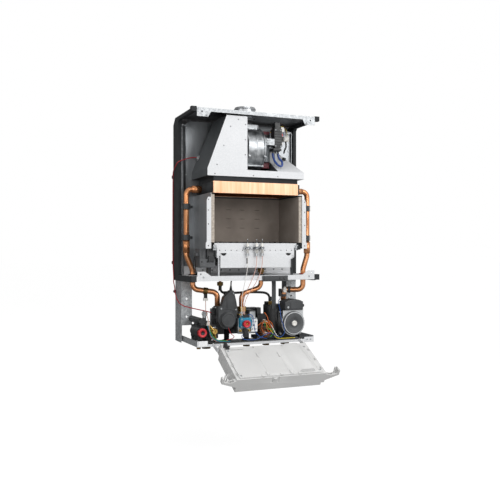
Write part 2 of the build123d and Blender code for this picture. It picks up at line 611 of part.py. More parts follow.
# ---- electrodes: ceramic rods with steel tips, on one strip ----
strip_height = tray_high - 14
with BuildPart() as electrodes:
    block((electrode_x[0] - 10, electrode_x[-1] + 8), (electrode_y + electrode_radius - 1,
                                                       -tray_front - seat),
          (strip_height - 3, strip_height + 3))
    for x in electrode_x:
        rod(electrode_radius, (x, electrode_y, electrode_low), (x, electrode_y, electrode_high - 8))
        rod(electrode_radius + 1.4, (x, electrode_y, strip_height - 4), (x, electrode_y, strip_height + 4))
        rod(1.2, (x, electrode_y, electrode_high - 8), (x, electrode_y, electrode_high))
finish(electrodes, "electrodes")

# ---- copper heating pipes from the exchanger down to the two water groups ----
nipple_end = exchanger_half + header_thick + seat
sleeve_grow = 2.0
bend_high, bend_low = floor_height + 57.4, floor_height + 15.4  # the pipes step in above the chamber floor
flow_points = [(-nipple_end, flow_y, tube_height), (-pipe_x, flow_y, tube_height),
               (-pipe_x, flow_y, bend_high),
               (-flow_drop, flow_y, bend_low), (-flow_drop, flow_y, 163), (-97.5, -118, 153),
               (-97.5, -118, 102)]
return_points = [(nipple_end, return_y, tube_height), (pipe_x, return_y, tube_height),
                 (pipe_x, return_y, bend_high),
                 (return_drop, return_y, bend_low), (return_drop, return_y, 157), (riser_x, riser_y, 157),
                 (riser_x, riser_y, 112)]
for name, points, bends, y, side, fitting, sleeve in (
        ("flow_pipe", flow_points, [elbow, 40, 40, elbow, elbow], flow_y, -1, 3.0,
         (bend_high + 10, bend_high + 47)),
        ("return_pipe", return_points, [elbow, 40, 40, elbow, 12], return_y, 1, 1.2,
         (bend_high + 8, bend_high + 42))):
    tube = run(points, bends, heating_pipe, heating_pipe - pipe_wall)
    with BuildPart() as pipe:
        add(tube)
        for grow, mode in ((fitting, Mode.ADD), (-pipe_wall, Mode.SUBTRACT)):
            rod(heating_pipe + grow, (side * nipple_end, y, tube_height),
                (side * (pipe_x - elbow), y, tube_height),
                mode)
        for grow, mode in ((sleeve_grow, Mode.ADD), (-pipe_wall, Mode.SUBTRACT)):
            rod(heating_pipe + grow, (side * pipe_x, y, sleeve[0]), (side * pipe_x, y, sleeve[1]), mode)
    finish(pipe, name)

# ---- gas pipe from the valve up to the manifold ----
gas_line = run([(gas_x, gas_y, nut_places["gas_top"][2] + 12.7), (gas_x, gas_y, 168),
                (valve_inlet_x, gas_y, 148), (valve_inlet_x, gas_y, 98)],
               [20, 20], gas_tube, gas_tube - pipe_wall)
with BuildPart() as gas_pipe:
    add(gas_line)
finish(gas_pipe, "gas_pipe")

# ---- brass union nuts ----
nut_bores = {"gas_top": gas_tube + 0.1, "gas_valve": gas_tube + 0.1,
             "hose_top": vessel_tube + 0.2, "hose_end": vessel_tube + 0.2}
with BuildPart() as brass_nuts:
    for name, (x, y, low, radius, tall) in nut_places.items():
        with BuildSketch(Plane.XY.offset(up(low))):
            with Locations((x, y)):
                RegularPolygon(radius, 6)
                Circle(nut_bores[name], mode=Mode.SUBTRACT)
        extrude(amount=tall)
finish(brass_nuts, "brass_nuts")

# ---- hose between the expansion vessel's tube and the separator ----
vessel_hose = lead([(vessel_x, vessel_y, tube_level - 22.3), (vessel_x, vessel_y, tube_level - 36),
                    (-72, -99, tube_level - 45), (-40, -97, 148.5),
                    (0, -95, 149.5), (40, -95, 149), (72, -96, 147), (84, -98, 136), (84, -100, 120.5)],
                   2 * vessel_tube - 0.6)
with BuildPart() as expansion_hose:
    add(vessel_hose)
finish(expansion_hose, "expansion_hose")

# ---- clips that hold the two heating pipes to the back panel ----
clip_bore = heating_pipe + clip_gap
clip_outer = clip_bore + clip_wall
with BuildPart() as pipe_clips:
    for side, y in ((-1, flow_y), (1, return_y)):
        x = side * pipe_x
        for height in clip_heights:
            low, high = height - clip_tall / 2, height + clip_tall / 2
            rod(clip_outer, (x, y, low), (x, y, high))
            block((side * (pipe_x - 10.8), side * (pipe_x - 6.3)), (y, back_y - seat),
                  (height - 4, height + 4))
            block((side * (pipe_x - 23), side * (pipe_x + 9)), (y + clip_outer - 1.5, y + clip_outer + 1.5),
                  (height - 4, height + 4))
            rod(clip_bore, (x, y, low - 1), (x, y, high + 1), Mode.SUBTRACT)
finish(pipe_clips, "pipe_clips")

# ---- rubber grommets: three in the chamber floor, one on the hood for the fan's cable ----
hood_tilt = (hood_rise - hood_knee) / (hood_front + back_y - seat - 6)
hood_normal = Vector(0, -hood_tilt, 1).normalized()
cable_entry = Vector(122, -120, hood_knee + (hood_front - 120) * hood_tilt)
cable_low, cable_high = cable_entry + hood_normal * seat, cable_entry + hood_normal * 6
with BuildPart() as pipe_grommets:
    for x, y, radius in ((-flow_drop, flow_y, heating_pipe), (return_drop, return_y, heating_pipe),
                         (gas_x, gas_y, gas_tube)):
        rod(radius + grommet_wall - 0.1, (x, y, floor_top - sheet - 0.5), (x, y, floor_top + 0.5))
        for low, high in ((floor_top - sheet - 3, floor_top - sheet - 0.1),
                          (floor_top + 0.1, floor_top + 3)):
            rod(radius + grommet_flange, (x, y, low), (x, y, high))
        rod(radius + 0.1, (x, y, floor_top - 6), (x, y, floor_top + 5), Mode.SUBTRACT)
    rod(6, (cable_low.X, cable_low.Y, cable_low.Z), (cable_high.X, cable_high.Y, cable_high.Z))
finish(pipe_grommets, "pipe_grommets")

# ---- clip-on temperature sensors of the two pipes ----
flow_start, flow_end = Vector(-flow_drop, flow_y, 163), Vector(-97.5, -118, 153)
flow_sensor = flow_start * 0.48 + flow_end * 0.52
flow_way = (flow_end - flow_start).normalized()
return_sensor = Vector(134, -131.9, 157)
return_way = (Vector(riser_x, riser_y, 157) - Vector(return_drop, return_y, 157)).normalized()
sensor_bore = heating_pipe + 0.2
with BuildPart() as pipe_sensors:
    for middle, way, half, outer in ((flow_sensor, flow_way, 6.5, 10.0),
                                     (return_sensor, return_way, 4.0, 10.4)):
        start, end = middle - way * half, middle + way * half
        rod(outer, (start.X, start.Y, start.Z), (end.X, end.Y, end.Z))
    rod(5.5, (flow_sensor.X, flow_sensor.Y, 136), (flow_sensor.X, flow_sensor.Y, flow_sensor.Z))
    block((flow_sensor.X - 6, flow_sensor.X + 6), (flow_sensor.Y - 5, flow_sensor.Y + 5), (128, 136.5))
    for middle, way in ((flow_sensor, flow_way), (return_sensor, return_way)):
        start, end = middle - way * 12, middle + way * 12
        rod(sensor_bore, (start.X, start.Y, start.Z), (end.X, end.Y, end.Z), Mode.SUBTRACT)
    rod(sensor_bore + 1.8, (riser_x, riser_y, 136), (riser_x, riser_y, 143))
    block((riser_x - 14, riser_x - 8.6), (riser_y - 6, riser_y + 6), (136, 160))
    rod(sensor_bore, (riser_x, riser_y, 135), (riser_x, riser_y, 144), Mode.SUBTRACT)
finish(pipe_sensors, "pipe_sensors")

# ---- hanger that ties the pump's separator to the floor flange ----
lip_y = front_y - seat
hanger_sheet, hanger_step, hanger_foot = 2.5, -150.0, floor_height - 17.6
with BuildPart() as pump_hanger:
    block((13, 96), (lip_y - hanger_sheet, lip_y), (hanger_foot, floor_height - sheet))
    block((60, 86), (lip_y - hanger_sheet, hanger_step + 6), (hanger_foot, hanger_foot + 3))
    block((67, 80), (hanger_step - hanger_sheet, hanger_step), (100, hanger_foot + 3))
    block((67, 80), (hanger_step - hanger_sheet, separator_y - separator_radius - seat), (100, 103))
    for x in (22, 87):
        rod(4.5, (x, lip_y - hanger_sheet - 2.5, hanger_foot + 9), (x, lip_y - 1, hanger_foot + 9))
    block((69, 78), (lip_y - hanger_sheet - 2, lip_y - 1), (hanger_foot + 5, hanger_foot + 13))
finish(pump_hanger, "pump_hanger")

# ---- black water group on the left ----
exchanger_plate_y = -96.0
with BuildPart() as flow_group:
    block((-176, -110), (group_face, -104), (group_foot, 60))
    fillet(flow_group.edges().filter_by(Axis.Z), 4)
    rod(26, (motor_x, group_face + 4.3, motor_height), (motor_x, -104, motor_height))
    block((-112, -58), (-140, -106), (50, motor_height))
    block((-110, -85), (-130.5, -105.5), (motor_height, 108))
    rod(heating_pipe + 4, (-97.5, -118, 107), (-97.5, -118, 112))
    rod(9.5, (drain_x, drain_front, drain_height), (drain_x, -62, drain_height))
    block((drain_x - 8, drain_x + 8), (-142, -108), (55, drain_height - 2))
    rod(14, (relief_x, -183, relief_height), (relief_x, -120, relief_height))
    rod(11, (relief_x, -150, 44), (relief_x, -118, 30))
    for height in (40, 88):
        rod(8, (motor_x - 4, -110, height), (motor_x - 4, exchanger_plate_y - seat, height))
    block((-112, -80), (-128, -104), (32, 52))
    rod(spindle_radius + spindle_gap, (relief_x, -184, relief_height), (relief_x, -169.5, relief_height),
        Mode.SUBTRACT)
    rod(spindle_radius + spindle_gap, (drain_x, drain_front - 1, drain_height),
        (drain_x, drain_front + 14.5, drain_height), Mode.SUBTRACT)
    rod(heating_pipe + 0.2, (-97.5, -118, 101.7), (-97.5, -118, 113), Mode.SUBTRACT)
finish(flow_group, "flow_group")

# ---- diverter motor: dark round housing with a cap and a socket for its cable ----
with BuildPart() as diverter_motor:
    with BuildSketch(facing(group_face + 4)):
        with Locations((motor_x, up(motor_height))):
            Circle(28)
        Polygon(*heights([(-111.6, 80), (-111.6, 115), (-101, 114.8), (-93.7, 141), (-76, 157), (-75, 160),
                          (-64, 160), (-56, 129), (-51, 99), (-56.5, 80)]), align=None)
    extrude(amount=22)
    rod(21.5, (motor_x - 0.5, -168, motor_height - 1), (motor_x - 0.5, -181, motor_height - 1))
    fillet(diverter_motor.faces().sort_by(Axis.Y)[0].edges(), 2)
    rod(23.5, (motor_x - 0.5, -168, motor_height - 1), (motor_x - 0.5, -172, motor_height - 1))
    for x, height in ((-104, 108), (-66, 152), (-58, 104)):
        rod(3, (x, -170, height), (x, -167, height))
finish(diverter_motor, "diverter_motor")

# ---- red knob of the relief valve on its spindle ----
with BuildPart() as relief_knob:
    rod(relief_radius, (relief_x, -184, relief_height), (relief_x, -197, relief_height))
    fillet(relief_knob.faces().sort_by(Axis.Y)[0].edges(), 1.5)
    for turn in range(0, 360, 45):
        rod(1.6, (relief_x + (relief_radius + 0.6) * cos(radians(turn)), -183,
                  relief_height + (relief_radius + 0.6) * sin(radians(turn))),
            (relief_x + (relief_radius + 0.6) * cos(radians(turn)), -194,
             relief_height + (relief_radius + 0.6) * sin(radians(turn))), Mode.SUBTRACT)
    rod(6, (relief_x, -195, relief_height), (relief_x, -198, relief_height), Mode.SUBTRACT)
    rod(spindle_radius, (relief_x, -185, relief_height), (relief_x, -170, relief_height))
finish(relief_knob, "relief_knob")

# ---- black star knob of the drain tap on its spindle ----
with BuildPart() as drain_knob:
    with BuildSketch(facing(drain_front - 0.5)):
        with Locations((drain_x, up(drain_height))):
            Circle(9)
            with PolarLocations(8.5, 6):
                Circle(4)
    extrude(amount=13.5)
    rod(spindle_radius, (drain_x, drain_front - 1, drain_height), (drain_x, drain_front + 14, drain_height))
    rod(5, (drain_x, drain_front - 13, drain_height), (drain_x, drain_front - 15, drain_height),
        Mode.SUBTRACT)
finish(drain_knob, "drain_knob")

# ---- brass filling valve and its lever ----
with BuildPart() as filling_valve:
    rod(8, (filling_x, group_face - seat, filling_height), (filling_x, filling_front, filling_height))
    rod(5, (filling_x, -160, filling_height), (filling_x - 13, -160, filling_height + 19))
    rod(6.5, (filling_x - 13, -160, filling_height + 17), (filling_x - 16.5, -160, filling_height + 23))
    rod(6, (filling_x, -160, filling_height), (filling_x + 2, -160, filling_height - 20))
    rod(2.8, (filling_x, -155, filling_height), (filling_x, filling_front - 1, filling_height),
        Mode.SUBTRACT)
finish(filling_valve, "filling_valve")

with BuildPart() as filling_lever:
    rod(7.5, (filling_x, filling_front - 0.5, filling_height), (filling_x, -182, filling_height))
    rod(3.2, (filling_x, -178, filling_height), (filling_x - 13, -178, filling_height + 15))
    rod(3.2, (filling_x, -178, filling_height), (filling_x + 3, -178, filling_height - 20))
    rod(2.5, (filling_x, -179, filling_height), (filling_x, -157, filling_height))
    rod(3, (filling_x, -180, filling_height), (filling_x, -183, filling_height), Mode.SUBTRACT)
finish(filling_lever, "filling_lever")

# ---- gas valve, its blue coil and its red regulator cap ----
with BuildPart() as gas_valve:
    block(valve_x, valve_y, (valve_low, valve_high))
    fillet(gas_valve.edges().filter_by(Axis.Z), 3)
    rod(13, (valve_inlet_x, gas_y, valve_high - 1), (valve_inlet_x, gas_y,
                                                     nut_places["gas_valve"][2] - seat))
    block((-12, 6), (-165, -118), (valve_high, 98))
    block((solenoid_x[1] + 0.5, 7), (-179, valve_y[0]), (valve_low + 2, valve_high - 4))
    block((-38, -27), (-186, valve_y[0]), (valve_low, 47))
    block((-36, -29), (-185, -178), (24, valve_low))
    for x, height in ((-10, 46), (1, 46), (-10, 68), (1, 68)):
        rod(2.2, (x, -180.4, height), (x, -178, height))
    block((-50, 5), (-171, -105), (valve_low - 4, valve_low))
    rod(11, (0, port_y, valve_low - 5.7), (0, port_y, valve_low))
finish(gas_valve, "gas_valve")

with BuildPart() as gas_coil:
    block(solenoid_x, (-191, valve_y[0] - seat), (solenoid_low, solenoid_top))
    fillet(gas_coil.edges().filter_by(Axis.Y), 5)
    block((-44, -22), (-187, -181), (solenoid_top, solenoid_top + 5))
finish(gas_coil, "gas_coil")

with BuildPart() as gas_cap:
    rod(10, (cap_x, -191.3, cap_height), (cap_x, -201, cap_height))
    fillet(gas_cap.faces().sort_by(Axis.Y)[0].edges(), 1.2)
    rod(5.5, (cap_x, -199, cap_height), (cap_x, -202, cap_height), Mode.SUBTRACT)
    rod(2.6, (cap_x, -198, cap_height), (cap_x, -200.6, cap_height))
finish(gas_cap, "gas_cap")

# ---- plate heat exchanger low at the back ----
plate_x, plate_h, plate_count, plate_pitch = (-98, 52), (24, 100), 16, 2.75
with BuildPart() as plate_exchanger:
    block((plate_x[0] + 2, plate_x[1] - 2), (exchanger_plate_y + 1,
                                             exchanger_plate_y + plate_count * plate_pitch - 1),
          (plate_h[0] + 2, plate_h[1] - 2))
    for step in range(plate_count):
        y = exchanger_plate_y + step * plate_pitch
        block(plate_x, (y, y + 1.5), plate_h)
    fillet(plate_exchanger.edges().filter_by(Axis.Y), 2)
finish(plate_exchanger, "plate_exchanger")

# ---- separator and pump volute in one black moulding ----
with BuildPart() as pump_volute:
    rod(separator_radius, (separator_x, separator_y, 20), (separator_x, separator_y, separator_top))
    fillet(pump_volute.edges(), 4)
    rod(41, (pump_x, pump_back + 0.3, pump_height), (pump_x, -108, pump_height))
    block((84, 166), (-140, -92), (group_foot, 32))
    rod(heating_pipe + 4, (riser_x, riser_y, 88), (riser_x, riser_y, 122))
    rod(5, (vent_cap_x, separator_y, separator_top - 5), (vent_cap_x, separator_y, separator_top + 1))
    rod(8, (84, -100, separator_top - 5), (84, -100, separator_top))
    rod(pump_wheel + 2, (pump_x, pump_back, pump_height), (pump_x, -120, pump_height), Mode.SUBTRACT)
    rod(heating_pipe + 0.2, (riser_x, riser_y, 111.7), (riser_x, riser_y, 123), Mode.SUBTRACT)
finish(pump_volute, "pump_volute")

with BuildPart() as air_vent_cap:
    rod(6.5, (vent_cap_x, separator_y, separator_top + 1.3), (vent_cap_x, separator_y, separator_top + 9))
    fillet(air_vent_cap.faces().sort_by(Axis.Z)[-1].edges(), 1.5)
finish(air_vent_cap, "air_vent_cap")

# ---- pump motor: square flange, silver can and dark face with the vent screw in it ----
rotor_bore = pump_rotor_radius + 0.4
with BuildPart() as pump_motor:
    block((pump_x - 39, pump_x + 39), (pump_back - 8, pump_back), (pump_height - 39, pump_height + 39))
    fillet(pump_motor.edges().filter_by(Axis.Y), 9)
    for side in (-1, 1):
        for lift in (-1, 1):
            rod(3.6, (pump_x + side * 33, pump_back - 12, pump_height + lift * 33),
                (pump_x + side * 33, pump_back - 7, pump_height + lift * 33))
    rod(pump_radius, (pump_x, pump_back - 7, pump_height), (pump_x, pump_front, pump_height))
    rod(face_radius, (pump_x, pump_front, pump_height), (pump_x, pump_face_y, pump_height))
    fillet(pump_motor.faces().sort_by(Axis.Y)[0].edges(), 2.5)
    rod(rotor_bore, (pump_x, pump_back + 1, pump_height), (pump_x, pump_back - 28.4, pump_height),
        Mode.SUBTRACT)
    rod(pump_shaft + 0.3, (pump_x, pump_back - 28, pump_height), (pump_x, pump_back - 30.4, pump_height),
        Mode.SUBTRACT)
    rod(vent_radius + vent_gap, (pump_x, pump_face_y + 4, pump_height),
        (pump_x, pump_face_y - 1, pump_height),
        Mode.SUBTRACT)
finish(pump_motor, "pump_motor")

with BuildPart() as pump_vent_screw:
    rod(vent_radius, (pump_x, pump_face_y + 3.7, pump_height), (pump_x, pump_face_y - 3.5, pump_height))
    fillet(pump_vent_screw.faces().sort_by(Axis.Y)[0].edges(), 0.8)
    block((pump_x - 6, pump_x + 6), (pump_face_y - 2, pump_face_y - 4), (pump_height - 1, pump_height + 1),
          Mode.SUBTRACT)
finish(pump_vent_screw, "pump_vent_screw")

with BuildPart() as pump_rotor:
    rod(pump_rotor_radius, (pump_x, pump_back - 3, pump_height), (pump_x, pump_back - 28, pump_height))
    rod(pump_shaft, (pump_x, pump_back - 30, pump_height), (pump_x, -124, pump_height))
    rod(pump_wheel, (pump_x, -130, pump_height), (pump_x, -127, pump_height))
    rod(pump_wheel, (pump_x, -144, pump_height), (pump_x, -142, pump_height))
    with BuildSketch(facing(-129)):
        with Locations((pump_x, up(pump_height))):
            with PolarLocations(19, 7):
                Rectangle(20, 2, rotation=40)
    extrude(amount=14)
    rod(9, (pump_x, -144, pump_height), (pump_x, -128, pump_height))
finish(pump_rotor, "pump_rotor")

# ---- terminal box on top of the pump ----
with BuildPart() as pump_terminal_box:
    with BuildSketch(facing(pump_back - seat)):
        with BuildLine():
            Polyline(*heights([(154.5, 123), (154.5, 97.8), (93.5, 97.8), (93.5, 123)]))
            ThreePointArc(*heights([(93.5, 123), (pump_x, 131), (154.5, 123)]))
        make_face()
    extrude(amount=pump_back - seat - pump_face_y)
    fillet(pump_terminal_box.faces().sort_by(Axis.Y)[0].edges(), 3)
    block((99, 106), (pump_face_y - 1.5, pump_face_y + 1), (103, 110))
    block((112, 146), (pump_face_y - 1, pump_face_y + 1), (103, 118))
finish(pump_terminal_box, "pump_terminal_box")

# ---- lower frame: arms from the wall, plate that carries the connections, front rail and hinge ears ----
arm_inner, arm_outer = leg_web - 7, leg_web - 5.3
rail_front, rail_back = -196.5, -178.0
with BuildPart() as lower_frame:
    block((-arm_inner, arm_inner), (-140, -80), (plate_floor, plate_floor + plate_sheet))
    block((-arm_inner, arm_inner), (rail_front, rail_back), (plate_floor, plate_floor + plate_sheet))
    block((-arm_inner, arm_inner), (rail_front, rail_front + plate_sheet), (plate_floor, plate_floor + 7))
    for side in (-1, 1):
        block((side * arm_inner, side * arm_outer), (rail_front, -sheet - seat),
              (plate_floor, plate_floor + 17))
        block((side * (arm_inner - 12), side * arm_inner), (rail_front, -70),
              (plate_floor, plate_floor + plate_sheet))
        low, high = (3, 20) if side < 0 else (0, 16)
        block((side * (arm_inner - 30), side * arm_outer), (rail_front, rail_front + 1.5), (low, high))
        for x in (arm_inner - 22, arm_inner - 10):
            rod(2.2, (side * x, rail_front - 1, (low + high) / 2 + 1),
                (side * x, rail_front + 3, (low + high) / 2 + 1), Mode.SUBTRACT)
        with BuildSketch(Plane.YZ.offset(side * (tray_out + 2.5))):
            Polygon(*heights([(rail_front + 1, 3), (rail_front + 1, 12), (hinge_y + 2, hinge_height + 6),
                              (hinge_y - 6, hinge_height + 4), (hinge_y - 6, hinge_height - 6),
                              (hinge_y + 4, hinge_height - 6)]), align=None)
        extrude(amount=side * 3)
        rod(pin_radius, (side * (tray_out - tray_wall - 0.5), hinge_y, hinge_height),
            (side * (tray_out + 3), hinge_y, hinge_height))
    for name, x in ports.items():
        radius = (wide_radius if name in wide_ports else port_radius) + seat
        rod(radius, (x, port_y, plate_floor - 1), (x, port_y, plate_floor + 4), Mode.SUBTRACT)
    for x in (-97, -30, 30, 97):
        rod(4, (x, -96, plate_floor - 1), (x, -96, plate_floor + 4), Mode.SUBTRACT)
finish(lower_frame, "lower_frame")

# ---- pipe connections through the plate, with the risers and the cold water filter above them ----
plate_top = plate_floor + plate_sheet
with BuildPart() as pipe_connections:
    for name, x in ports.items():
        radius = wide_radius if name in wide_ports else port_radius
        rod(radius, (x, port_y, port_foot), (x, port_y, group_foot - seat))
        rod(radius + 2.3, (x, port_y, plate_top + seat), (x, port_y, group_foot - seat))
        with BuildSketch(Plane.XY.offset(up(plate_floor - seat))):
            with Locations((x, port_y)):
                RegularPolygon(radius + 5, 6)
        extrude(amount=-5)
    rod(8, (ports["hot_water"], port_y, 8), (ports["hot_water"], port_y, 49.7))
    rod(8, (ports["gas"], port_y, 8), (ports["gas"], port_y, valve_low - 6))
    block((20, 81), (-146, -98), (group_foot, 19.6))
    block((56, 74), (-120, -100), (8, 12))
    rod(13, (45, -134, 12), (45, -134, 52))
    with BuildSketch(Plane.XY.offset(up(52))):
        with Locations((45, -134)):
            RegularPolygon(11, 6)
    extrude(amount=8)
    rod(6, (-166, -147, -9), (-166, -147, group_foot - seat))
    for name, x in ports.items():
        radius = wide_radius if name in wide_ports else port_radius
        rod(radius - 3, (x, port_y, port_foot - 1), (x, port_y, port_foot + 20), Mode.SUBTRACT)
    rod(4, (-166, -147, -10), (-166, -147, 0), Mode.SUBTRACT)
finish(pipe_connections, "pipe_connections")

# ---- control panel, drawn in its own directions: x across, u along from the hinge, v out of its back ----
open_turn = radians(open_below)
along = Vector(0, -cos(open_turn), -sin(open_turn))
outward = Vector(0, -sin(open_turn), cos(open_turn))
hinge = Vector(0, hinge_y, up(hinge_height))


def on_panel(x, u, v):
    """Place given in the panel's own directions."""
    return hinge + Vector(x, 0, 0) + along * u + outward * v


def panel_block(x, u, v, mode=Mode.ADD):
    """Box between two places in each of the panel's own directions."""
    middle = on_panel((x[0] + x[1]) / 2, (u[0] + u[1]) / 2, (v[0] + v[1]) / 2)
    with Locations(Plane(origin=middle, x_dir=(1, 0, 0), z_dir=outward)):
        Box(abs(x[1] - x[0]), abs(u[1] - u[0]), abs(v[1] - v[0]), mode=mode)


def panel_rod(radius, start, end, mode=Mode.ADD):
    """Round bar between two places in the panel's own directions."""
    low, high = on_panel(*start), on_panel(*end)
    with Locations(Plane(origin=(low + high) * 0.5, z_dir=high - low)):
        Cylinder(radius, (high - low).length, mode=mode)


def panel_section(u):
    """Plane across the panel, drawn as (x, v); extruding goes away from the hinge."""
    return Plane(origin=on_panel(0, u, 0), x_dir=(1, 0, 0), z_dir=along)


tray_in = tray_out - tray_wall
strip_u = panel_far - tray_wall
with BuildPart() as control_tray:
    panel_block((-tray_out, tray_out), (panel_near, panel_far), (fascia_v, rim_v))
    panel_block((-tray_in, 121), (panel_near + tray_wall, strip_u), (fascia_v + tray_wall, rim_v + 1),
                Mode.SUBTRACT)
    panel_block((120, tray_in), (panel_near + tray_wall, strip_u), (fascia_v + 11, rim_v + 1),
                Mode.SUBTRACT)
    panel_block((124, tray_out + 1), (panel_near - 1, panel_far + 1), (fascia_v - 1, fascia_v + 8),
                Mode.SUBTRACT)
    panel_block((-tray_in, tray_in), (panel_near + tray_wall, strip_u), (rim_v - 3, rim_v))
    panel_block((-121.8, 121.8), (25, 145.5), (rim_v - 4, rim_v + 1), Mode.SUBTRACT)
    for side in (-1, 1):
        panel_block((side * tray_out, side * tray_in), (-6, panel_near + tray_wall), (-14, 8))
        panel_block((side * tray_out, side * (tray_in - 3)), (2, panel_near + 1),
                    (-8, 8 if side > 0 else 23))
        panel_rod(pin_radius + pin_gap, (side * (tray_out + 1), 0, 0), (side * (tray_in - 4), 0, 0),
                  Mode.SUBTRACT)
        panel_block((side * (tray_out + 2), side * tray_out), (95, 106), (-18, -9))
        with BuildSketch(panel_section(panel_far - ear_thick)):
            Polygon((side * tray_in, -14), (side * ear_tip, 2), (side * ear_tip, 18),
                    (side * (ear_tip - 5), 18),
                    (side * (ear_tip - 7), 6), (side * 150, 3), (side * tray_in, 9), align=None)
        extrude(amount=ear_thick)
        for x in (160, 166):
            panel_block((side * x, side * (x + 2)), (panel_far - 9, panel_far - 4), (0, 26))
        panel_block((side * 140, side * 156), (panel_far - 9, panel_far - 3), (-5, 12), Mode.SUBTRACT)
    panel_block((-34, -9), (strip_u + 1.5, panel_far + 1), (-6, rim_v + 0.1), Mode.SUBTRACT)
    panel_block((-28, -15), (strip_u, panel_far + 0.5), (-4, 9))
    panel_block((-25, -18), (panel_far - 3, panel_far + 2.5), (4, 8))
    for x in knob_x:
        panel_rod(spindle_radius + spindle_gap, (x, knob_u, fascia_v - 1), (x, knob_u, fascia_v + 5),
                  Mode.SUBTRACT)
    panel_rod(gauge_radius + 0.3, (gauge_x, knob_u, fascia_v - 1), (gauge_x, knob_u, fascia_v + 5),
              Mode.SUBTRACT)
    for x in (-98, 98):
        for u in (board_u[0] + 6, board_u[1] - 6):
            panel_rod(3, (x, u, fascia_v + 2), (x, u, board_v - 1.6 - seat))
finish(control_tray, "control_tray")

# ---- back cover of the control panel ----
cover_low = rim_v + seat
cover_top = cover_low + 3
with BuildPart() as control_cover:
    panel_block((-cover_half, cover_half), (22, cover_far), (cover_low, cover_top))
    for x in ((-37, 27), (54, 97)):
        panel_block(x, (12, 23), (cover_low, cover_top))
    with BuildSketch(panel_section(22)):
        Polygon((47, cover_top - 1), (58, cover_top + ridge_rise), (96, cover_top + ridge_rise),
                (104, cover_top - 1),
                align=None)
    extrude(amount=122)
    with BuildSketch(panel_section(24.5)):
        Polygon((50.5, cover_low - 1), (60, cover_top + ridge_rise - 2.5),
                (94, cover_top + ridge_rise - 2.5),
                (101, cover_low - 1), align=None)
    extrude(amount=117, mode=Mode.SUBTRACT)
    for x, u in ((-39, (46, 67)), (25, (50, 70))):
        panel_block((x - 2.5, x + 2.5), u, (cover_top - 1, cover_top + 3))
    for x in (-41, 30):
        panel_block((x - 4, x + 4), (133, 147), (cover_top - 1, cover_top + 3))
    for x in (-40, 25, 114):
        panel_block((x - 0.5, x + 0.5), (70 if x < 100 else 26, 132 if x < 100 else 144),
                    (cover_top - 0.6, cover_top + 1), Mode.SUBTRACT)
finish(control_cover, "control_cover")

# ---- circuit board inside the panel ----
with BuildPart() as circuit_board:
    panel_block((-board_half, board_half), board_u, (board_v - 1.6, board_v))
    panel_block((-96, -64), (96, 126), (board_v, 8))
    for x in (-52, -36, -20, -4):
        panel_block((x - 6, x + 6), (108, 126), (board_v, 4))
    for x in range(-90, 91, 20):
        panel_block((x - 7, x + 7), (38, 46), (board_v, 2))
    for x, u in ((30, 70), (44, 72), (36, 96), (70, 100)):
        panel_rod(5, (x, u, board_v), (x, u, 6))
    panel_block((8, 26), (84, 102), (board_v, board_v + 3))
finish(circuit_board, "circuit_board")

# ---- two setting knobs and the pressure gauge on the fascia ----
knob_base = fascia_v - 0.5
for name, x in zip(("heating_knob", "water_knob"), knob_x):
    with BuildPart() as knob:
        panel_rod(knob_radius, (x, knob_u, knob_base), (x, knob_u, knob_base - knob_tall))
        fillet(knob.edges(), 1.5)
        for turn in range(0, 360, 30):
            grip = radians(turn + 15)
            edge_x, edge_u = (knob_radius + 0.8) * cos(grip), (knob_radius + 0.8) * sin(grip)
            panel_rod(2, (x + edge_x, knob_u + edge_u, knob_base - 3),
                      (x + edge_x, knob_u + edge_u, knob_base - knob_tall - 1), Mode.SUBTRACT)
        panel_block((x - 1, x + 1), (knob_u + 4, knob_u + knob_radius - 2),
                    (knob_base - knob_tall - 1, knob_base - knob_tall + 1), Mode.SUBTRACT)
        panel_rod(spindle_radius, (x, knob_u, knob_base - 2), (x, knob_u, fascia_v + 12))
    finish(knob, name)

with BuildPart() as pressure_gauge:
    panel_rod(gauge_radius, (gauge_x, knob_u, fascia_v - 2), (gauge_x, knob_u, fascia_v + 15))
    panel_rod(gauge_radius + 2, (gauge_x, knob_u, fascia_v - 2.5), (gauge_x, knob_u, fascia_v - seat))
    panel_rod(gauge_radius - 2, (gauge_x, knob_u, fascia_v - 1.5), (gauge_x, knob_u, fascia_v - 3),
              Mode.SUBTRACT)
finish(pressure_gauge, "pressure_gauge")

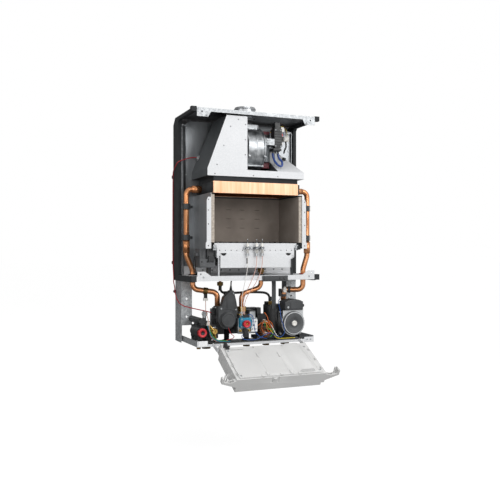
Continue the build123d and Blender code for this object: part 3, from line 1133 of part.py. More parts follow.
# ---- wiring: electrode leads, low wires round the gas valve and pump, fan wires and the front cable ----
lead_out = (-200.5, -205, -205.5, -197, -186)
electrode_places = [
    [(-32, 240), (-38, 212), (-44, 186), (-49, 150), (-48, 115), (-48, 88)],
    [(-4, 238), (-14, 210), (-26, 184), (-40, 150), (-44, 116), (-44, 92)],
    [(14, 236), (4, 208), (-10, 182), (-31, 150), (-40, 118), (-40, 91)],
]
wires = []
for x, places in zip(electrode_x, electrode_places):
    route = [(x, electrode_y, electrode_low - seat)]
    for (across, height), y in zip(places, lead_out + (-193.5,)):
        route.append((across, y, height))
    wires.append(lead(route, lead_diameter))
low_routes = [
    [(106.8, -125, 135.2), (104, -133, 127), (90, -146, 126), (84, -162, 118), (80, -182, 100),
     (78, -194, 72),
     (86, -195.5, 52), (90, -196, 33), (80, -195, 20), (64, -193, 21), (47, -192, 34), (33, -192, 33),
     (15, -191, 22),
     (-3, -191, 15), (-28, -192, 16), (-42, -191, 18), (-47, -186, 25), (-43, -182, 31),
     (-36.6, -181.5, 31)],
    [(-27, -184, 86.8), (-22, -188, 92), (-14, -193, 86), (-12, -195, 70), (-10, -195, 56), (-8, -194, 40),
     (5, -192, 26), (19, -191, 19),
     (34, -188, 16.5)],
    [(45, -150, 62), (47, -158, 52), (55, -190, 28), (64, -190, 16.5), (80, -190, 14.6), (106, -190, 14.8),
     (126, -190, 14.8)],
    [(9.6, -166, 51), (22, -166, 60), (32, -168, 63), (43, -170, 64), (50, -172, 50), (53, -172, 36),
     (46, -172, 26)],
    [(9.6, -170, 44), (24, -172, 52), (38, -174, 48), (44, -176, 36), (38, -176, 24)],
    [(-85, -177, 52.6), (-84, -184, 46), (-82, -190, 36), (-70, -190, 28), (-76, -190, 22), (-86, -190, 21),
     (-98, -190, 16), (-106, -187.5, 13.6)],
    [(-131.3, -107.9, 127.2), (-133, -114, 116), (-142, -140, 100), (-147, -164, 92), (-148, -180, 80),
     (-148, -187, 66), (-147, -187, 50), (-144, -187, 32), (-136, -188, 23), (-126, -188, 16)],
]
for route in low_routes:
    wires.append(lead(route, lead_diameter))
diverter_cable = lead([(-69.5, -157, 160.3), (-68.5, -156, 172), (-67, -153, 188), (-60, -150, 197),
                       (-40, -146, 198), (-8, -133, 198), (52, -132, 198), (69, -136, 196),
                       (73.5, -141, 186), (73.5, -142, 150), (73.5, -145, 114), (73.5, -145, 103.3)], 4.0)
front_cable = lead([(-150, group_face - seat, 20), (-150, -160, 20), (-146, -177, 10.5), (-118, -187, 9.4),
                    (-70, -184, 9.6), (-20, -187, 9.5), (40, -185, 9.4), (90, -187, 9.5), (140, -185, 9.6),
                    (155, -172, 11), (158, -156, 13), (158, -140 - seat, 14)], 8.0)
cable_out = cable_high + hood_normal * seat
cable_up = cable_high + hood_normal * 14
fan_cable = lead([(cable_out.X, cable_out.Y, cable_out.Z), (cable_up.X, cable_up.Y, cable_up.Z),
                  (127, -130, 600),
                  (127, -122, 620)], 5.0)
coil_side = stack_right + 3 + 2 * seat
fan_routes = [
    [(122, -122, 632), (121, -123, 650), (112, -124, 660), (98, -126, 658), (84, -128, 644),
     (coil_side, -128, 634)],
    [(127, -122, 632), (128, -123, 654), (118, -122, 671), (98, -121, 674), (80, -120, 656),
     (74, -120, 638),
     (coil_side, -120, 633)],
    [(132, -122, 632), (134, -120, 650), (124, -116, 664), (104, -113, 668), (84, -112, 652),
     (74, -112, 634),
     (coil_side, -112, 630)],
]
fan_wires = [lead(route, lead_diameter) for route in fan_routes]
with BuildPart() as wiring_harness:
    add(wires + fan_wires + [diverter_cable, front_cable, fan_cable])
    block((118, 136), (-129, -115), (617, 633))
    block((94, 106), (-130, -118), (650, 664))
finish(wiring_harness, "wiring_harness")

# ---- red thermostat lead from the hood's side, down the outside of the left seal ----
clip_x = -seal_out - seat
hood_side = Vector(-137.6, -60, 560)
side_normal = Vector(-(hood_top - hood_knee), 0, hood_half - hood_top_half).normalized()
disc_low, disc_high = hood_side + side_normal * seat, hood_side + side_normal * 5
thermostat_wire = lead([(disc_high.X, -60, disc_high.Z), (-160, -62, 562), (-194, -61, 550),
                        (-206, -61, 543),
                        (-206, -42, 531), (-203.5, -12, 523), (-202.5, -6, 505), (-202.5, -4, 241),
                        (-203, -16, 196), (-203, -15, 180), (-197.5, -8, 166),
                        (-196.5, -6, 152), (-206, -60, 130), (-202, -90, 115), (-173, -112, 107),
                        (-128, -137, 97),
                        (-122, -140, 94)], 3.0)
with BuildPart() as thermostat_lead:
    add(thermostat_wire)
    rod(7, (disc_low.X, -60, disc_low.Z), (disc_high.X, -60, disc_high.Z))
    for y, height in ((-5, 505), (-4, 241)):
        block((clip_x, clip_x - 5), (y - 4, y + 3), (height - 5, height + 5))
    block((-leg_web - sheet - seat, -leg_web - sheet - 6), (-10, -3), (147, 157))
    block((-125, -114), (-145, -134), (88, 98))
finish(thermostat_lead, "thermostat_lead")
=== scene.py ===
import math
import bmesh
import bpy
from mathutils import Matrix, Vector


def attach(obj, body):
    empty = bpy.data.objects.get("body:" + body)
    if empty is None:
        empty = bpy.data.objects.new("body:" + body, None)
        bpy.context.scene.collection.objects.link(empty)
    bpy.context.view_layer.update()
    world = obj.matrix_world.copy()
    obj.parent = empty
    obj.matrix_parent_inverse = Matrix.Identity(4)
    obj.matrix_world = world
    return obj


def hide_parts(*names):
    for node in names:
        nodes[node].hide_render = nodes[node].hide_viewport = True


# Wall-hung combination boiler with its front casing off and its control panel hanging open.
# Places are x, y and height in millimetres. Heights start at the foot of the frame.

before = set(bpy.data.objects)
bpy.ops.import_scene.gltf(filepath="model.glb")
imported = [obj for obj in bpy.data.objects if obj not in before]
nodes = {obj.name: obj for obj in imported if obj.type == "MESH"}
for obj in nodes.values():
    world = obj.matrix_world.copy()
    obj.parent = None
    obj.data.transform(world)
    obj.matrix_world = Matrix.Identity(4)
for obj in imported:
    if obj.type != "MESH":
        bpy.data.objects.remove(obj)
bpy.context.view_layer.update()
scene = bpy.context.scene
mm = 0.001
hangHeight = 646.0  # the hanging slots, and so the origin, are this far above the foot
print("frame loaded:", len(nodes), "nodes")


def place(x, y, height):
    return Vector((x, y, height - hangHeight)) * mm


def heightOf(point):
    return point.z / mm + hangHeight


# camera, where the photograph was taken from
view = {"spot": (-0.787434, -2.013328, -0.366198), "turn": 22.783, "lens": 48.416, "sensor": 36.0}
camera = bpy.data.cameras.new("studioCamera")
camera.lens, camera.sensor_width = view["lens"], view["sensor"]
cameraObject = bpy.data.objects.new("studioCamera", camera)
cameraObject.location = view["spot"]
cameraObject.rotation_euler = (math.radians(90), 0, -math.radians(view["turn"]))
scene.collection.objects.link(cameraObject)
scene.camera = cameraObject
print("camera placed")


# finishes
def hexColour(code):
    parts = [int(code[i:i + 2], 16) / 255 for i in (1, 3, 5)]
    return [p / 12.92 if p <= 0.04045 else ((p + 0.055) / 1.055) ** 2.4 for p in parts] + [1.0]


def addNode(tree, kind, settings, inputs):
    node = tree.nodes.new(kind)
    for name, value in settings.items():
        setattr(node, name, value)
    for name, value in inputs.items():
        if isinstance(value, bpy.types.NodeSocket):
            tree.links.new(value, node.inputs[name])
        else:
            node.inputs[name].default_value = value
    return node


def startFinish(name, shaderValues):
    material = bpy.data.materials.new(name)
    material.use_nodes = True
    tree = material.node_tree
    shader = tree.nodes["Principled BSDF"]
    for socket, value in shaderValues.items():
        shader.inputs[socket].default_value = value
    where = addNode(tree, "ShaderNodeTexCoord", {}, {}).outputs["Object"]
    return material, tree, shader, where


def blended(tree, factor, dark, light):  # a colour between two, by a pattern from 0 to 1
    return addNode(tree, "ShaderNodeMix", {"data_type": "RGBA"},
                   {0: factor, 6: hexColour(dark), 7: hexColour(light)}).outputs[2]


def stretched(tree, value, low, high, toLow=0.0, toHigh=1.0):  # a pattern with more contrast
    return addNode(tree, "ShaderNodeMapRange", {},
                   {0: value, 1: low, 2: high, 3: toLow, 4: toHigh}).outputs[0]


def noise(tree, where, sizeMm, detail=3.0):
    return addNode(tree, "ShaderNodeTexNoise", {},
                   {"Vector": where, "Scale": 1 / (sizeMm * mm), "Detail": detail}).outputs[0]


def roughened(tree, shader, pattern, rough, height, depthMm):
    tree.links.new(stretched(tree, pattern, 0.3, 0.7, *rough), shader.inputs["Roughness"])
    bump = addNode(tree, "ShaderNodeBump", {}, {"Distance": depthMm * mm, "Height": height})
    tree.links.new(bump.outputs[0], shader.inputs["Normal"])


# patchMm is how wide the cloudy changes of colour are, gritMm and depthMm the grain of the surface, and
# along stretches both. Real grain is mostly finer than 0.3 mm: it is drawn coarser, so that it shows
def mottled(name, dark, light, patchMm, gritMm, depthMm, rough, along=(1, 1, 1), **values):
    sockets = {key.replace("_", " ").title().replace("Ior", "IOR"): value for key, value in values.items()}
    material, tree, shader, where = startFinish(name, sockets)
    drawn = addNode(tree, "ShaderNodeMapping", {}, {"Vector": where, "Scale": along}).outputs[0]
    patches = noise(tree, drawn, patchMm, 4.0)
    grit = noise(tree, drawn, gritMm, 2.0)
    if dark == light:
        shader.inputs["Base Color"].default_value = hexColour(dark)
    else:
        colour = blended(tree, stretched(tree, patches, 0.32, 0.68), dark, light)
        tree.links.new(colour, shader.inputs["Base Color"])
    roughened(tree, shader, patches, rough, grit, depthMm)
    return material


# zinc crystals are real at 2 to 8 mm, and are drawn at spangleMm
def zincSheet(name, dark, light, spangleMm, metallic, rough):
    material, tree, shader, where = startFinish(name, {"Metallic": metallic})
    crystals = addNode(tree, "ShaderNodeTexVoronoi", {}, {"Vector": where, "Scale": 1 / (spangleMm * mm)})
    cells = addNode(tree, "ShaderNodeSeparateColor", {}, {0: crystals.outputs["Color"]}).outputs[0]
    clouds = noise(tree, where, 70)
    both = addNode(tree, "ShaderNodeMath", {"operation": "ADD"}, {0: cells, 1: clouds}).outputs[0]
    tree.links.new(blended(tree, stretched(tree, both, 0.4, 1.5), dark, light), shader.inputs["Base Color"])
    roughened(tree, shader, both, rough, clouds, 0.05)
    return material


# a stack or a winding shows as fine stripes, pitchMm apart along one axis. Laminations and enamelled
# wire are real at 0.5 mm and brazed plates at 2.3 mm, and are drawn coarser, so that they show
def striped(name, dark, light, axis, pitchMm, rough, metallic=0.0):
    material, tree, shader, where = startFinish(name, {"Metallic": metallic})
    waves = addNode(tree, "ShaderNodeTexWave", {"bands_direction": axis},
                    {"Vector": where, "Scale": 0.314 / (pitchMm * mm), "Distortion": 0.3})
    tree.links.new(blended(tree, waves.outputs[1], dark, light), shader.inputs["Base Color"])
    roughened(tree, shader, noise(tree, where, 9), rough, waves.outputs[1], 0.15)
    return material


looks = {
    # hot-dip galvanised steel: bright, slightly cloudy, with flat crystals that catch light differently
    "zinc": zincSheet("galvanisedSheet", "#96999C", "#C3C6C8", 4.5, 0.55, (0.34, 0.48)),
    # galvanised sheet drawn nearly white and matt on faces turned to the front or up: painted light
    "litZinc": zincSheet("litGalvanisedSheet", "#D2D4D6", "#DEDFE1", 2.0, 0.15, (0.4, 0.5)),
    # rolled aluminised steel: satin grey with long soft clouds
    "rolled": mottled("aluminisedSteel", "#74777A", "#A9ACAF", 60, 1.2, 0.01, (0.3, 0.44), (1, 1, 0.3),
                      metallic=0.9),
    # painted shade: a dark, dull grey copy of the sheet with little shine, on the hood's left side and
    # undersides and in the combustion casing
    "shadedSheet": mottled("shadedSteel", "#4A4D4F", "#575B5D", 50, 1.5, 0.02, (0.5, 0.62), metallic=0.2),
    # painted light: a lighter copy of the same sheet, mid grey and softly shining, on the combustion casing's
    # left side
    "litCasingSheet": mottled("litSteel", "#84878A", "#9A9DA0", 60, 1.5, 0.01, (0.36, 0.48), (1, 1, 0.4),
                           metallic=0.45),
    # closed-cell rubber foam: almost black and dull, with a fine skin
    "foam": mottled("neopreneFoam", "#1F2123", "#2E3133", 25, 0.9, 0.08, (0.72, 0.86)),
    # moulded glass-filled nylon: black with a faint satin grain
    "nylon": mottled("glassFilledNylon", "#161718", "#232527", 20, 0.5, 0.03, (0.34, 0.5), ior=1.53),
    # moulded dark grey housings: satin, slightly lighter than the nylon
    "housing": mottled("mouldedPolyamide", "#303234", "#3E4042", 25, 0.6, 0.03, (0.42, 0.55), ior=1.53),
    # phenolic box of the spark generator: dark grey, dusty
    "sparkCase": mottled("phenolicMoulding", "#46484A", "#56585A", 22, 0.8, 0.03, (0.46, 0.6), ior=1.55),
    # burner rails blackened by soot and heat
    "sooted": mottled("sootedStainless", "#2B2A29", "#4A4745", 5, 0.8, 0.04, (0.5, 0.7), metallic=0.4),
    # moulded ABS of the control panel: light warm grey with fine spark texture
    "abs": mottled("mouldedAbs", "#CACAC9", "#D0D0CF", 80, 0.7, 0.015, (0.42, 0.54), ior=1.53),
    # die-cast aluminium: mid grey, grainy skin
    "cast": mottled("dieCastAluminium", "#85888B", "#C6C9CB", 14, 0.8, 0.06, (0.28, 0.48), metallic=0.9),
    # drawn stainless steel: cool and bright with fine lines
    "stainless": mottled("drawnStainless", "#9A9DA0", "#C9CBCD", 30, 0.4, 0.01, (0.22, 0.34), (1, 1, 6),
                         metallic=1.0),
    # bare copper plate, rolled: pale salmon with upright streaks of warmth
    "copperPlate": mottled("rolledCopper", "#DFA47C", "#F4CBAA", 9, 0.9, 0.003, (0.34, 0.46), (1, 1, 0.06),
                           metallic=0.6),
    # drawn copper tube: warm orange, darker where hands and flux have marked it
    "copperTube": mottled("drawnCopper", "#D28C5C", "#E5A577", 45, 1.6, 0.001, (0.24, 0.31), metallic=0.85),
    # heat-stained copper fins
    "copperFin": mottled("heatStainedCopper", "#6E3A1C", "#B8703C", 9, 1.5, 0.05, (0.4, 0.6), metallic=0.85),
    # brass left to air and flux for years: brown and dull
    "agedBrass": mottled("tarnishedBrass", "#5E4C2C", "#84693C", 7, 0.8, 0.02, (0.36, 0.5), metallic=0.9),
    # turned and forged brass: pale yellow, with small dull marks
    "brass": mottled("forgedBrass", "#A8823F", "#D8B568", 6, 0.6, 0.02, (0.2, 0.34), metallic=1.0),
    # pressed ceramic fibre board: warm grey, fibrous, quite dull
    "board": mottled("ceramicFibreBoard", "#7E746C", "#91877E", 60, 0.9, 0.008, (0.9, 0.97)),
    # painted shade: the same board drawn darker, as dark slits
    "boardShade": mottled("shadedFibreBoard", "#4C443E", "#5A514A", 6, 0.7, 0.05, (0.9, 0.97)),
    # painted light: the board's front edges, drawn paler and more open than its faces
    "litBoardEdge": mottled("litFibreBoardEdge", "#A69C91", "#C9BFB3", 6, 0.6, 0.25, (0.9, 0.97)),
    # glazed alumina: off-white and smooth
    "ceramic": mottled("glazedAlumina", "#DEDCD6", "#F2F0EA", 8, 0.8, 0.01, (0.18, 0.28), ior=1.7),
    # moulded red polyamide of the knobs: strong colour with a satin gloss
    "redPlastic": mottled("redPolyamide", "#B31A24", "#D02B35", 9, 0.5, 0.02, (0.3, 0.42), ior=1.53),
    # moulded silicone rubber: deeper red and dull
    "redRubber": mottled("redSilicone", "#8E1A20", "#A8262B", 9, 0.6, 0.03, (0.5, 0.62)),
    # polyester resin cast round the gas valve's coil: teal, slightly glossy
    "coilBlue": mottled("tealPolyester", "#12708F", "#2391B5", 10, 0.6, 0.03, (0.34, 0.46), ior=1.55),
    # uncoloured moulded nylon of plugs and screws: milky white
    "whiteNylon": mottled("naturalNylon", "#DAD8D2", "#F0EEE9", 9, 0.5, 0.02, (0.35, 0.48), ior=1.53),
    # stove-enamelled plate: clean white, evenly glossy
    "whitePlate": mottled("whiteEnamel", "#E6E7E8", "#F3F4F4", 20, 1.0, 0.01, (0.3, 0.4)),
    # aluminium foil and bright turned rims: silver with a soft sheen
    "silverLabel": mottled("satinFoil", "#B9BCBE", "#D4D6D8", 18, 0.8, 0.01, (0.3, 0.42), metallic=0.7),
    # pressed steel under stove enamel: brick red, smooth, with a soft gloss
    "vessel": mottled("stoveEnamel", "#8F2A24", "#A6352D", 40, 1.0, 0.03, (0.34, 0.46)),
    # enamelled copper wire under varnish: dark red stripes
    "winding": striped("varnishedWinding", "#4E1420", "#7C2634", "X", 1.6, (0.3, 0.42)),
    # stack of silicon steel sheets: grey stripes
    "stack": striped("siliconSteelStack", "#54585B", "#8E9295", "X", 1.4, (0.36, 0.5), 0.8),
    # stainless plates brazed together: bright bands across the edge
    "plates": striped("brazedPlates", "#8C8F92", "#C4C6C8", "Y", 5.5, (0.24, 0.36), 0.95),
    # solder mask over glass-fibre laminate: green and slightly glossy
    "laminate": mottled("solderMask", "#1D5B3A", "#2B7A4F", 6, 1.0, 0.02, (0.3, 0.42), ior=1.55),
    # printed aluminium dial: flat white
    "dialFace": mottled("printedDial", "#EDEDEB", "#F8F8F6", 20, 1.0, 0.005, (0.3, 0.4)),
    # punched or drilled bore: nearly black, because no light comes back out
    "darkHole": mottled("shadowedBore", "#0B0B0C", "#141415", 5, 0.5, 0.02, (0.6, 0.8)),
}
wireColours = {
    "blue": "#1D4C93", "orange": "#C8621E", "brown": "#5A3420", "green": "#3F8F3A", "yellow": "#D8C22E",
    "red": "#A5222B", "black": "#1B1C1D", "pink": "#C79A8C", "white": "#DCDAD5", "hoseBlue": "#1B3F86",
    "clear": "#C6C9C8",
}
for name, code in wireColours.items():  # soft PVC and silicone: smooth with a low sheen
    looks[name] = mottled(name + "Pvc", code, code, 20, 0.8, 0.01, (0.34, 0.46), ior=1.53)
print("finishes made:", len(looks))


# plain CAD nodes keep their shape and take a finish
def paint(node, look):
    slots = nodes[node].data.materials
    slots.clear()
    slots.append(looks[look])


plainNodes = {
    "left_upright": "zinc", "right_upright": "zinc", "hanging_rail": "zinc", "expansion_vessel": "vessel",
    "exchanger_fins": "copperFin", "gas_manifold": "cast",
    "fan_wheel": "zinc", "pump_rotor": "stainless", "circuit_board": "laminate",
    "seal_end_caps": "foam", "side_seals": "foam",
    "wiring_harness": "black", "thermostat_lead": "red", "pressure_tubes": "hoseBlue",
    "expansion_hose": "black",
}
for node, look in plainNodes.items():
    paint(node, look)
print("plain nodes painted")


# pieces
edges = {"sharpAbove": 50, "segments": 2, "flatBelow": 0.5, "mergeMm": 0.003}  # angles in degrees


def finishPiece(name, mesh, finishes, body, bevelMm=0.0, smoothBelow=38, swap=()):
    mesh.name = name
    for look in finishes:
        mesh.materials.append(looks[look])
    mesh.shade_smooth()
    mesh.set_sharp_from_angle(angle=math.radians(smoothBelow))
    piece = bpy.data.objects.new(name, mesh)
    scene.collection.objects.link(piece)
    if bevelMm:
        bevel = piece.modifiers.new("edge", "BEVEL")
        bevel.width, bevel.segments, bevel.limit_method = bevelMm * mm, edges["segments"], "ANGLE"
        bevel.angle_limit = math.radians(edges["sharpAbove"])
        bevel.use_clamp_overlap = True
    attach(piece, body)
    if swap:
        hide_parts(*swap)
    return piece


# a merged, smoothly shaded copy of a CAD node. pick() gives the number of each face's finish, by its x, y
# and height in millimetres and by the direction it faces
def dressed(node, name, finishes, pick=None, bevelMm=0.0, smoothBelow=32, body="boiler"):
    shape = bmesh.new()
    shape.from_mesh(nodes[node].data)
    bmesh.ops.remove_doubles(shape, verts=shape.verts, dist=edges["mergeMm"] * mm)
    if bevelMm:
        bmesh.ops.dissolve_limit(shape, angle_limit=math.radians(edges["flatBelow"]), verts=shape.verts,
                                 edges=shape.edges)
    for face in shape.faces:
        middle = face.calc_center_median()
        if pick:
            face.material_index = pick(middle.x / mm, middle.y / mm, heightOf(middle), face.normal)
    mesh = bpy.data.meshes.new(name)
    shape.to_mesh(mesh)
    shape.free()
    return finishPiece(name, mesh, finishes, body, bevelMm, smoothBelow, (node,))


def pickRoof(x, y, height, normal):  # galvanised outside; underneath and behind, the darker rolled sheet: painted shade
    return 0 if normal.y < -0.5 or normal.z > 0.3 or y < -196 else 1


def pickFloor(x, y, height, normal):  # painted light: near-white everywhere but underneath, where it is plain galvanised
    return 1 if normal.z < -0.3 and y > -196 else 0


def pickHood(x, y, height, normal):  # painted shade: dark foam at its foot and dark sheet on its left side and underneath; painted light: a near-white front and right part
    if height < 494.2:
        return 2
    if normal.x < -0.3 or (normal.z < -0.5 and y > -190):
        return 1
    return 0 if normal.y < -0.5 or x > 60 else 3


dressed("roof_plate", "roofPlate", ["zinc", "rolled"], pickRoof, smoothBelow=12)
dressed("chamber_floor", "chamberFloor", ["litZinc", "zinc"], pickFloor, smoothBelow=12)
dressed("flue_collar", "flueCollar", ["stainless"])
dressed("back_panel", "backPanel", ["rolled"])
dressed("fume_hood", "fumeHood", ["litZinc", "shadedSheet", "foam", "rolled"], pickHood,
        smoothBelow=12)
dressed("fan_housing", "fanHousing", ["cast"], bevelMm=0.6)
dressed("fan_motor", "fanMotor", ["stack", "winding", "zinc"],  # coils outside the stack, strap
        lambda x, y, h, n: 1 if abs(h - 585) > 39.5 else (2 if x > 60.5 or y < -178 or x < 39.5 else 0))
dressed("pressure_switch", "pressureSwitch", ["nylon"], bevelMm=0.6)
dressed("heat_exchanger", "heatExchanger", ["copperPlate", "foam", "copperFin"],  # end seals
        lambda x, y, h, n: 1 if abs(x) > 136.2 else (0 if n.y < -0.5 or abs(n.x) > 0.5 else 2))
dressed("combustion_casing", "combustionCasing", ["shadedSheet", "litZinc", "litCasingSheet"],
        lambda x, y, h, n: 1 if y < -197.5 and n.y < -0.5 else (2 if n.x < -0.5 and x < -140 else 0),
        smoothBelow=12)  # painted light: near-white flanges in front, and a lighter left side
dressed("insulation_boards", "insulationBoards", ["board", "litBoardEdge"],  # painted light: paler front edges
        lambda x, y, h, n: 1 if y < -196.5 and n.y < -0.5 else 0)
dressed("burner_tray", "burnerTray", ["litZinc", "zinc", "darkHole"],  # near-white front: painted light; tray; near-black holes: painted shade
        lambda x, y, h, n: (2 if abs(y + 188.5) < 0.1 else 0) if y < -185.5 else 1, smoothBelow=12)
dressed("spark_generator", "sparkGenerator", ["nylon"], bevelMm=0.8)
dressed("electrodes", "sparkElectrodes", ["ceramic", "stainless"],  # steel tips and strip
        lambda x, y, h, n: 1 if h > 300.2 or (282.5 < h < 289.5) else 0)
for node, name in (("flow_pipe", "flowPipe"), ("return_pipe", "returnPipe"), ("gas_pipe", "gasPipe")):
    dressed(node, name, ["copperTube"], smoothBelow=60)
dressed("brass_nuts", "unionNuts", ["brass", "agedBrass"],  # the upper nuts are duller
        lambda x, y, h, n: 1 if h > 160 else 0, bevelMm=0.5)
dressed("pipe_connections", "pipeConnections", ["agedBrass", "nylon"],  # black above the frame
        lambda x, y, h, n: 1 if h > 2 else 0)
dressed("pipe_clips", "pipeClips", ["housing", "whiteNylon"],  # white outside, on the right
        lambda x, y, h, n: 1 if x > 192 else 0)
dressed("pipe_grommets", "pipeGrommets", ["redRubber", "foam"],  # red round the return pipe
        lambda x, y, h, n: 0 if x > 100 and h < 260 else 1)
dressed("pipe_sensors", "pipeSensors", ["housing", "whiteNylon", "agedBrass"],  # plug, clamp
        lambda x, y, h, n: 1 if h < 136 else (2 if x < 0 and h > 148 else 0))
dressed("pump_hanger", "pumpHanger", ["housing"], bevelMm=0.5)
dressed("flow_group", "flowGroup", ["nylon"], bevelMm=0.7)
dressed("diverter_motor", "diverterMotor", ["housing"], bevelMm=0.6)
dressed("relief_knob", "reliefKnob", ["redPlastic", "nylon"],  # with a black middle
        lambda x, y, h, n: 1 if math.hypot(x + 170, h - 43) < 6.1 else 0, body="relief_knob")
dressed("drain_knob", "drainKnob", ["nylon"], bevelMm=0.5, body="drain_knob")
dressed("filling_valve", "fillingValve", ["brass"])
dressed("filling_lever", "fillingLever", ["brass"], bevelMm=0.4, body="filling_lever")
dressed("gas_valve", "gasValve", ["cast", "whitePlate", "nylon"],  # white front plate, black plugs
        lambda x, y, h, n: 1 if y < -175.5 and x > -13 and h > 36 else (2 if y < -175.5 else 0), bevelMm=0.5)
dressed("gas_coil", "gasCoil", ["coilBlue"], bevelMm=0.7)
dressed("burner_blades", "burnerBlades", ["sooted"])
dressed("plate_exchanger", "plateExchanger", ["plates", "nylon"],  # a black front
        lambda x, y, h, n: 1 if n.y < -0.5 else 0)
dressed("gas_cap", "gasCap", ["redPlastic", "brass"],  # with a brass screw
        lambda x, y, h, n: 1 if math.hypot(x + 34.5, h - 63.5) < 2.8 else 0)
dressed("pump_volute", "pumpVolute", ["nylon"])
dressed("air_vent_cap", "airVentCap", ["nylon"], body="air_vent_cap")
dressed("pump_motor", "pumpMotor", ["nylon", "sparkCase"], lambda x, y, h, n: 1 if y < -182.3 else 0)
dressed("pump_vent_screw", "pumpVentScrew", ["whiteNylon"], body="vent_screw")
dressed("pump_terminal_box", "pumpTerminalBox", ["housing"], bevelMm=0.8)
dressed("lower_frame", "lowerFrame", ["zinc", "litZinc"],  # painted light: a near-white front edge
        lambda x, y, h, n: 1 if y < -194.5 else 0, smoothBelow=12)
dressed("control_tray", "controlTray", ["abs"], bevelMm=0.8, body="control_panel")
dressed("control_cover", "controlCover", ["abs"], bevelMm=0.7, body="control_panel")
dressed("heating_knob", "heatingKnob", ["housing"], body="heating_knob")
dressed("water_knob", "waterKnob", ["housing"], body="water_knob")
dressed("pressure_gauge", "pressureGauge", ["housing", "dialFace"], body="control_panel",
        pick=lambda x, y, h, n: 1 if abs(x - 75) < 18 and n.z < -0.5 and n.y > 0.2 else 0)
print("CAD nodes dressed")


# wires, tubes and hoses, each a smooth curve through the same route as the CAD solid
strand = {"order": 3, "smoothness": 6, "roundness": 3}


def wire(name, route, diameterMm, look, swap=()):
    curve = bpy.data.curves.new(name, "CURVE")
    curve.dimensions = "3D"
    line = curve.splines.new("NURBS")
    line.points.add(len(route) - 1)
    for point, spot in zip(line.points, route):
        point.co = (*place(*spot), 1.0)
    line.order_u, line.use_endpoint_u, line.resolution_u = strand["order"], True, strand["smoothness"]
    curve.bevel_depth, curve.bevel_resolution = diameterMm / 2 * mm, strand["roundness"]
    curve.use_fill_caps = True
    curve.materials.append(looks[look])
    piece = bpy.data.objects.new(name, curve)
    scene.collection.objects.link(piece)
    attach(piece, "boiler")
    if swap:
        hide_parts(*swap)
    return piece


# electrode leads: all bow outwards alike, and each drops along its own x and height
leadOut = (-200.5, -205, -205.5, -197, -186, -193.5)
electrodeX = (-32, -3, 15)
electrodeDrops = [
    [(-32, 240), (-38, 212), (-44, 186), (-49, 150), (-48, 115), (-48, 88)],
    [(-4, 238), (-14, 210), (-26, 184), (-40, 150), (-44, 116), (-44, 92)],
    [(14, 236), (4, 208), (-10, 182), (-31, 150), (-40, 118), (-40, 91)],
]
for number, (x, drop) in enumerate(zip(electrodeX, electrodeDrops)):
    route = [(x, -197, 261.7)] + [(across, y, height) for (across, height), y in zip(drop, leadOut)]
    wire("electrodeLead" + str(number + 1), route, 1.8, ("white", "pink", "pink")[number])
lowWires = {
    "returnSensorWire": ("blue", [
        (106.8, -125, 135.2), (104, -133, 127), (90, -146, 126), (84, -162, 118), (80, -182, 100),
        (78, -194, 72), (86, -195.5, 52), (90, -196, 33), (80, -195, 20), (64, -193, 21), (47, -192, 34),
        (33, -192, 33), (15, -191, 22), (-3, -191, 15), (-28, -192, 16), (-42, -191, 18), (-47, -186, 25),
        (-43, -182, 31), (-36.6, -181.5, 31)]),
    "coilWire": ("blue", [
        (-27, -184, 86.8), (-22, -188, 92), (-14, -193, 86), (-12, -195, 70), (-10, -195, 56), (-8, -194, 40),
        (5, -192, 26), (19, -191, 19), (34, -188, 16.5)]),
    "earthWire": ("yellow", [
        (45, -150, 62), (47, -158, 52), (55, -190, 28), (64, -190, 16.5), (80, -190, 14.6), (106, -190, 14.8),
        (126, -190, 14.8)]),
    "orangeWire": ("orange", [
        (9.6, -166, 51), (22, -166, 60), (32, -168, 63), (43, -170, 64), (50, -172, 50), (53, -172, 36),
        (46, -172, 26)]),
    "brownWire": ("brown", [(9.6, -170, 44), (24, -172, 52), (38, -174, 48), (44, -176, 36), (38, -176, 24)]),
    "switchWire": ("red", [
        (-85, -177, 52.6), (-84, -184, 46), (-82, -190, 36), (-70, -190, 28), (-76, -190, 22),
        (-86, -190, 21), (-98, -190, 16), (-106, -187.5, 13.6)]),
    "flowSensorWire": ("pink", [
        (-131.3, -107.9, 127.2), (-133, -114, 116), (-142, -140, 100), (-147, -164, 92), (-148, -180, 80),
        (-148, -187, 66), (-147, -187, 50), (-144, -187, 32), (-136, -188, 23), (-126, -188, 16)]),
}
for name, (look, route) in lowWires.items():
    wire(name, route, 2.0, look)
wire("diverterCable", [(-69.5, -157, 160.3), (-68.5, -156, 172), (-67, -153, 188), (-60, -150, 197),
                       (-40, -146, 198), (-8, -133, 198), (52, -132, 198), (69, -136, 196), (73.5, -141, 186),
                       (73.5, -142, 150), (73.5, -145, 114), (73.5, -145, 103.3)], 4.0, "black")
wire("frontCable", [(-150, -150.3, 20), (-150, -160, 20), (-146, -177, 10.5), (-118, -187, 9.4),
                    (-70, -184, 9.6), (-20, -187, 9.5), (40, -185, 9.4), (90, -187, 9.5), (140, -185, 9.6),
                    (155, -172, 11), (158, -156, 13), (158, -140.3, 14)], 8.0, "black",
     swap=("wiring_harness",))
wire("fanCable", [(122, -120, 581), (122, -126, 592), (127, -130, 600), (127, -122, 620)], 5.0, "black")
fanWires = {
    "fanBlueWire": ("blue", [(122, -122, 632), (121, -123, 650), (112, -124, 660), (98, -126, 658),
                             (84, -128, 644), (63.6, -128, 634)]),
    "fanBrownWire": ("brown", [(127, -122, 632), (128, -123, 654), (118, -122, 671), (98, -121, 674),
                               (80, -120, 656), (74, -120, 638), (63.6, -120, 633)]),
    "fanEarthWire": ("yellow", [(132, -122, 632), (134, -120, 650), (124, -116, 664), (104, -113, 668),
                                (84, -112, 652), (74, -112, 634), (63.6, -112, 630)]),
}
for name, (look, route) in fanWires.items():
    wire(name, route, 2.0, look)
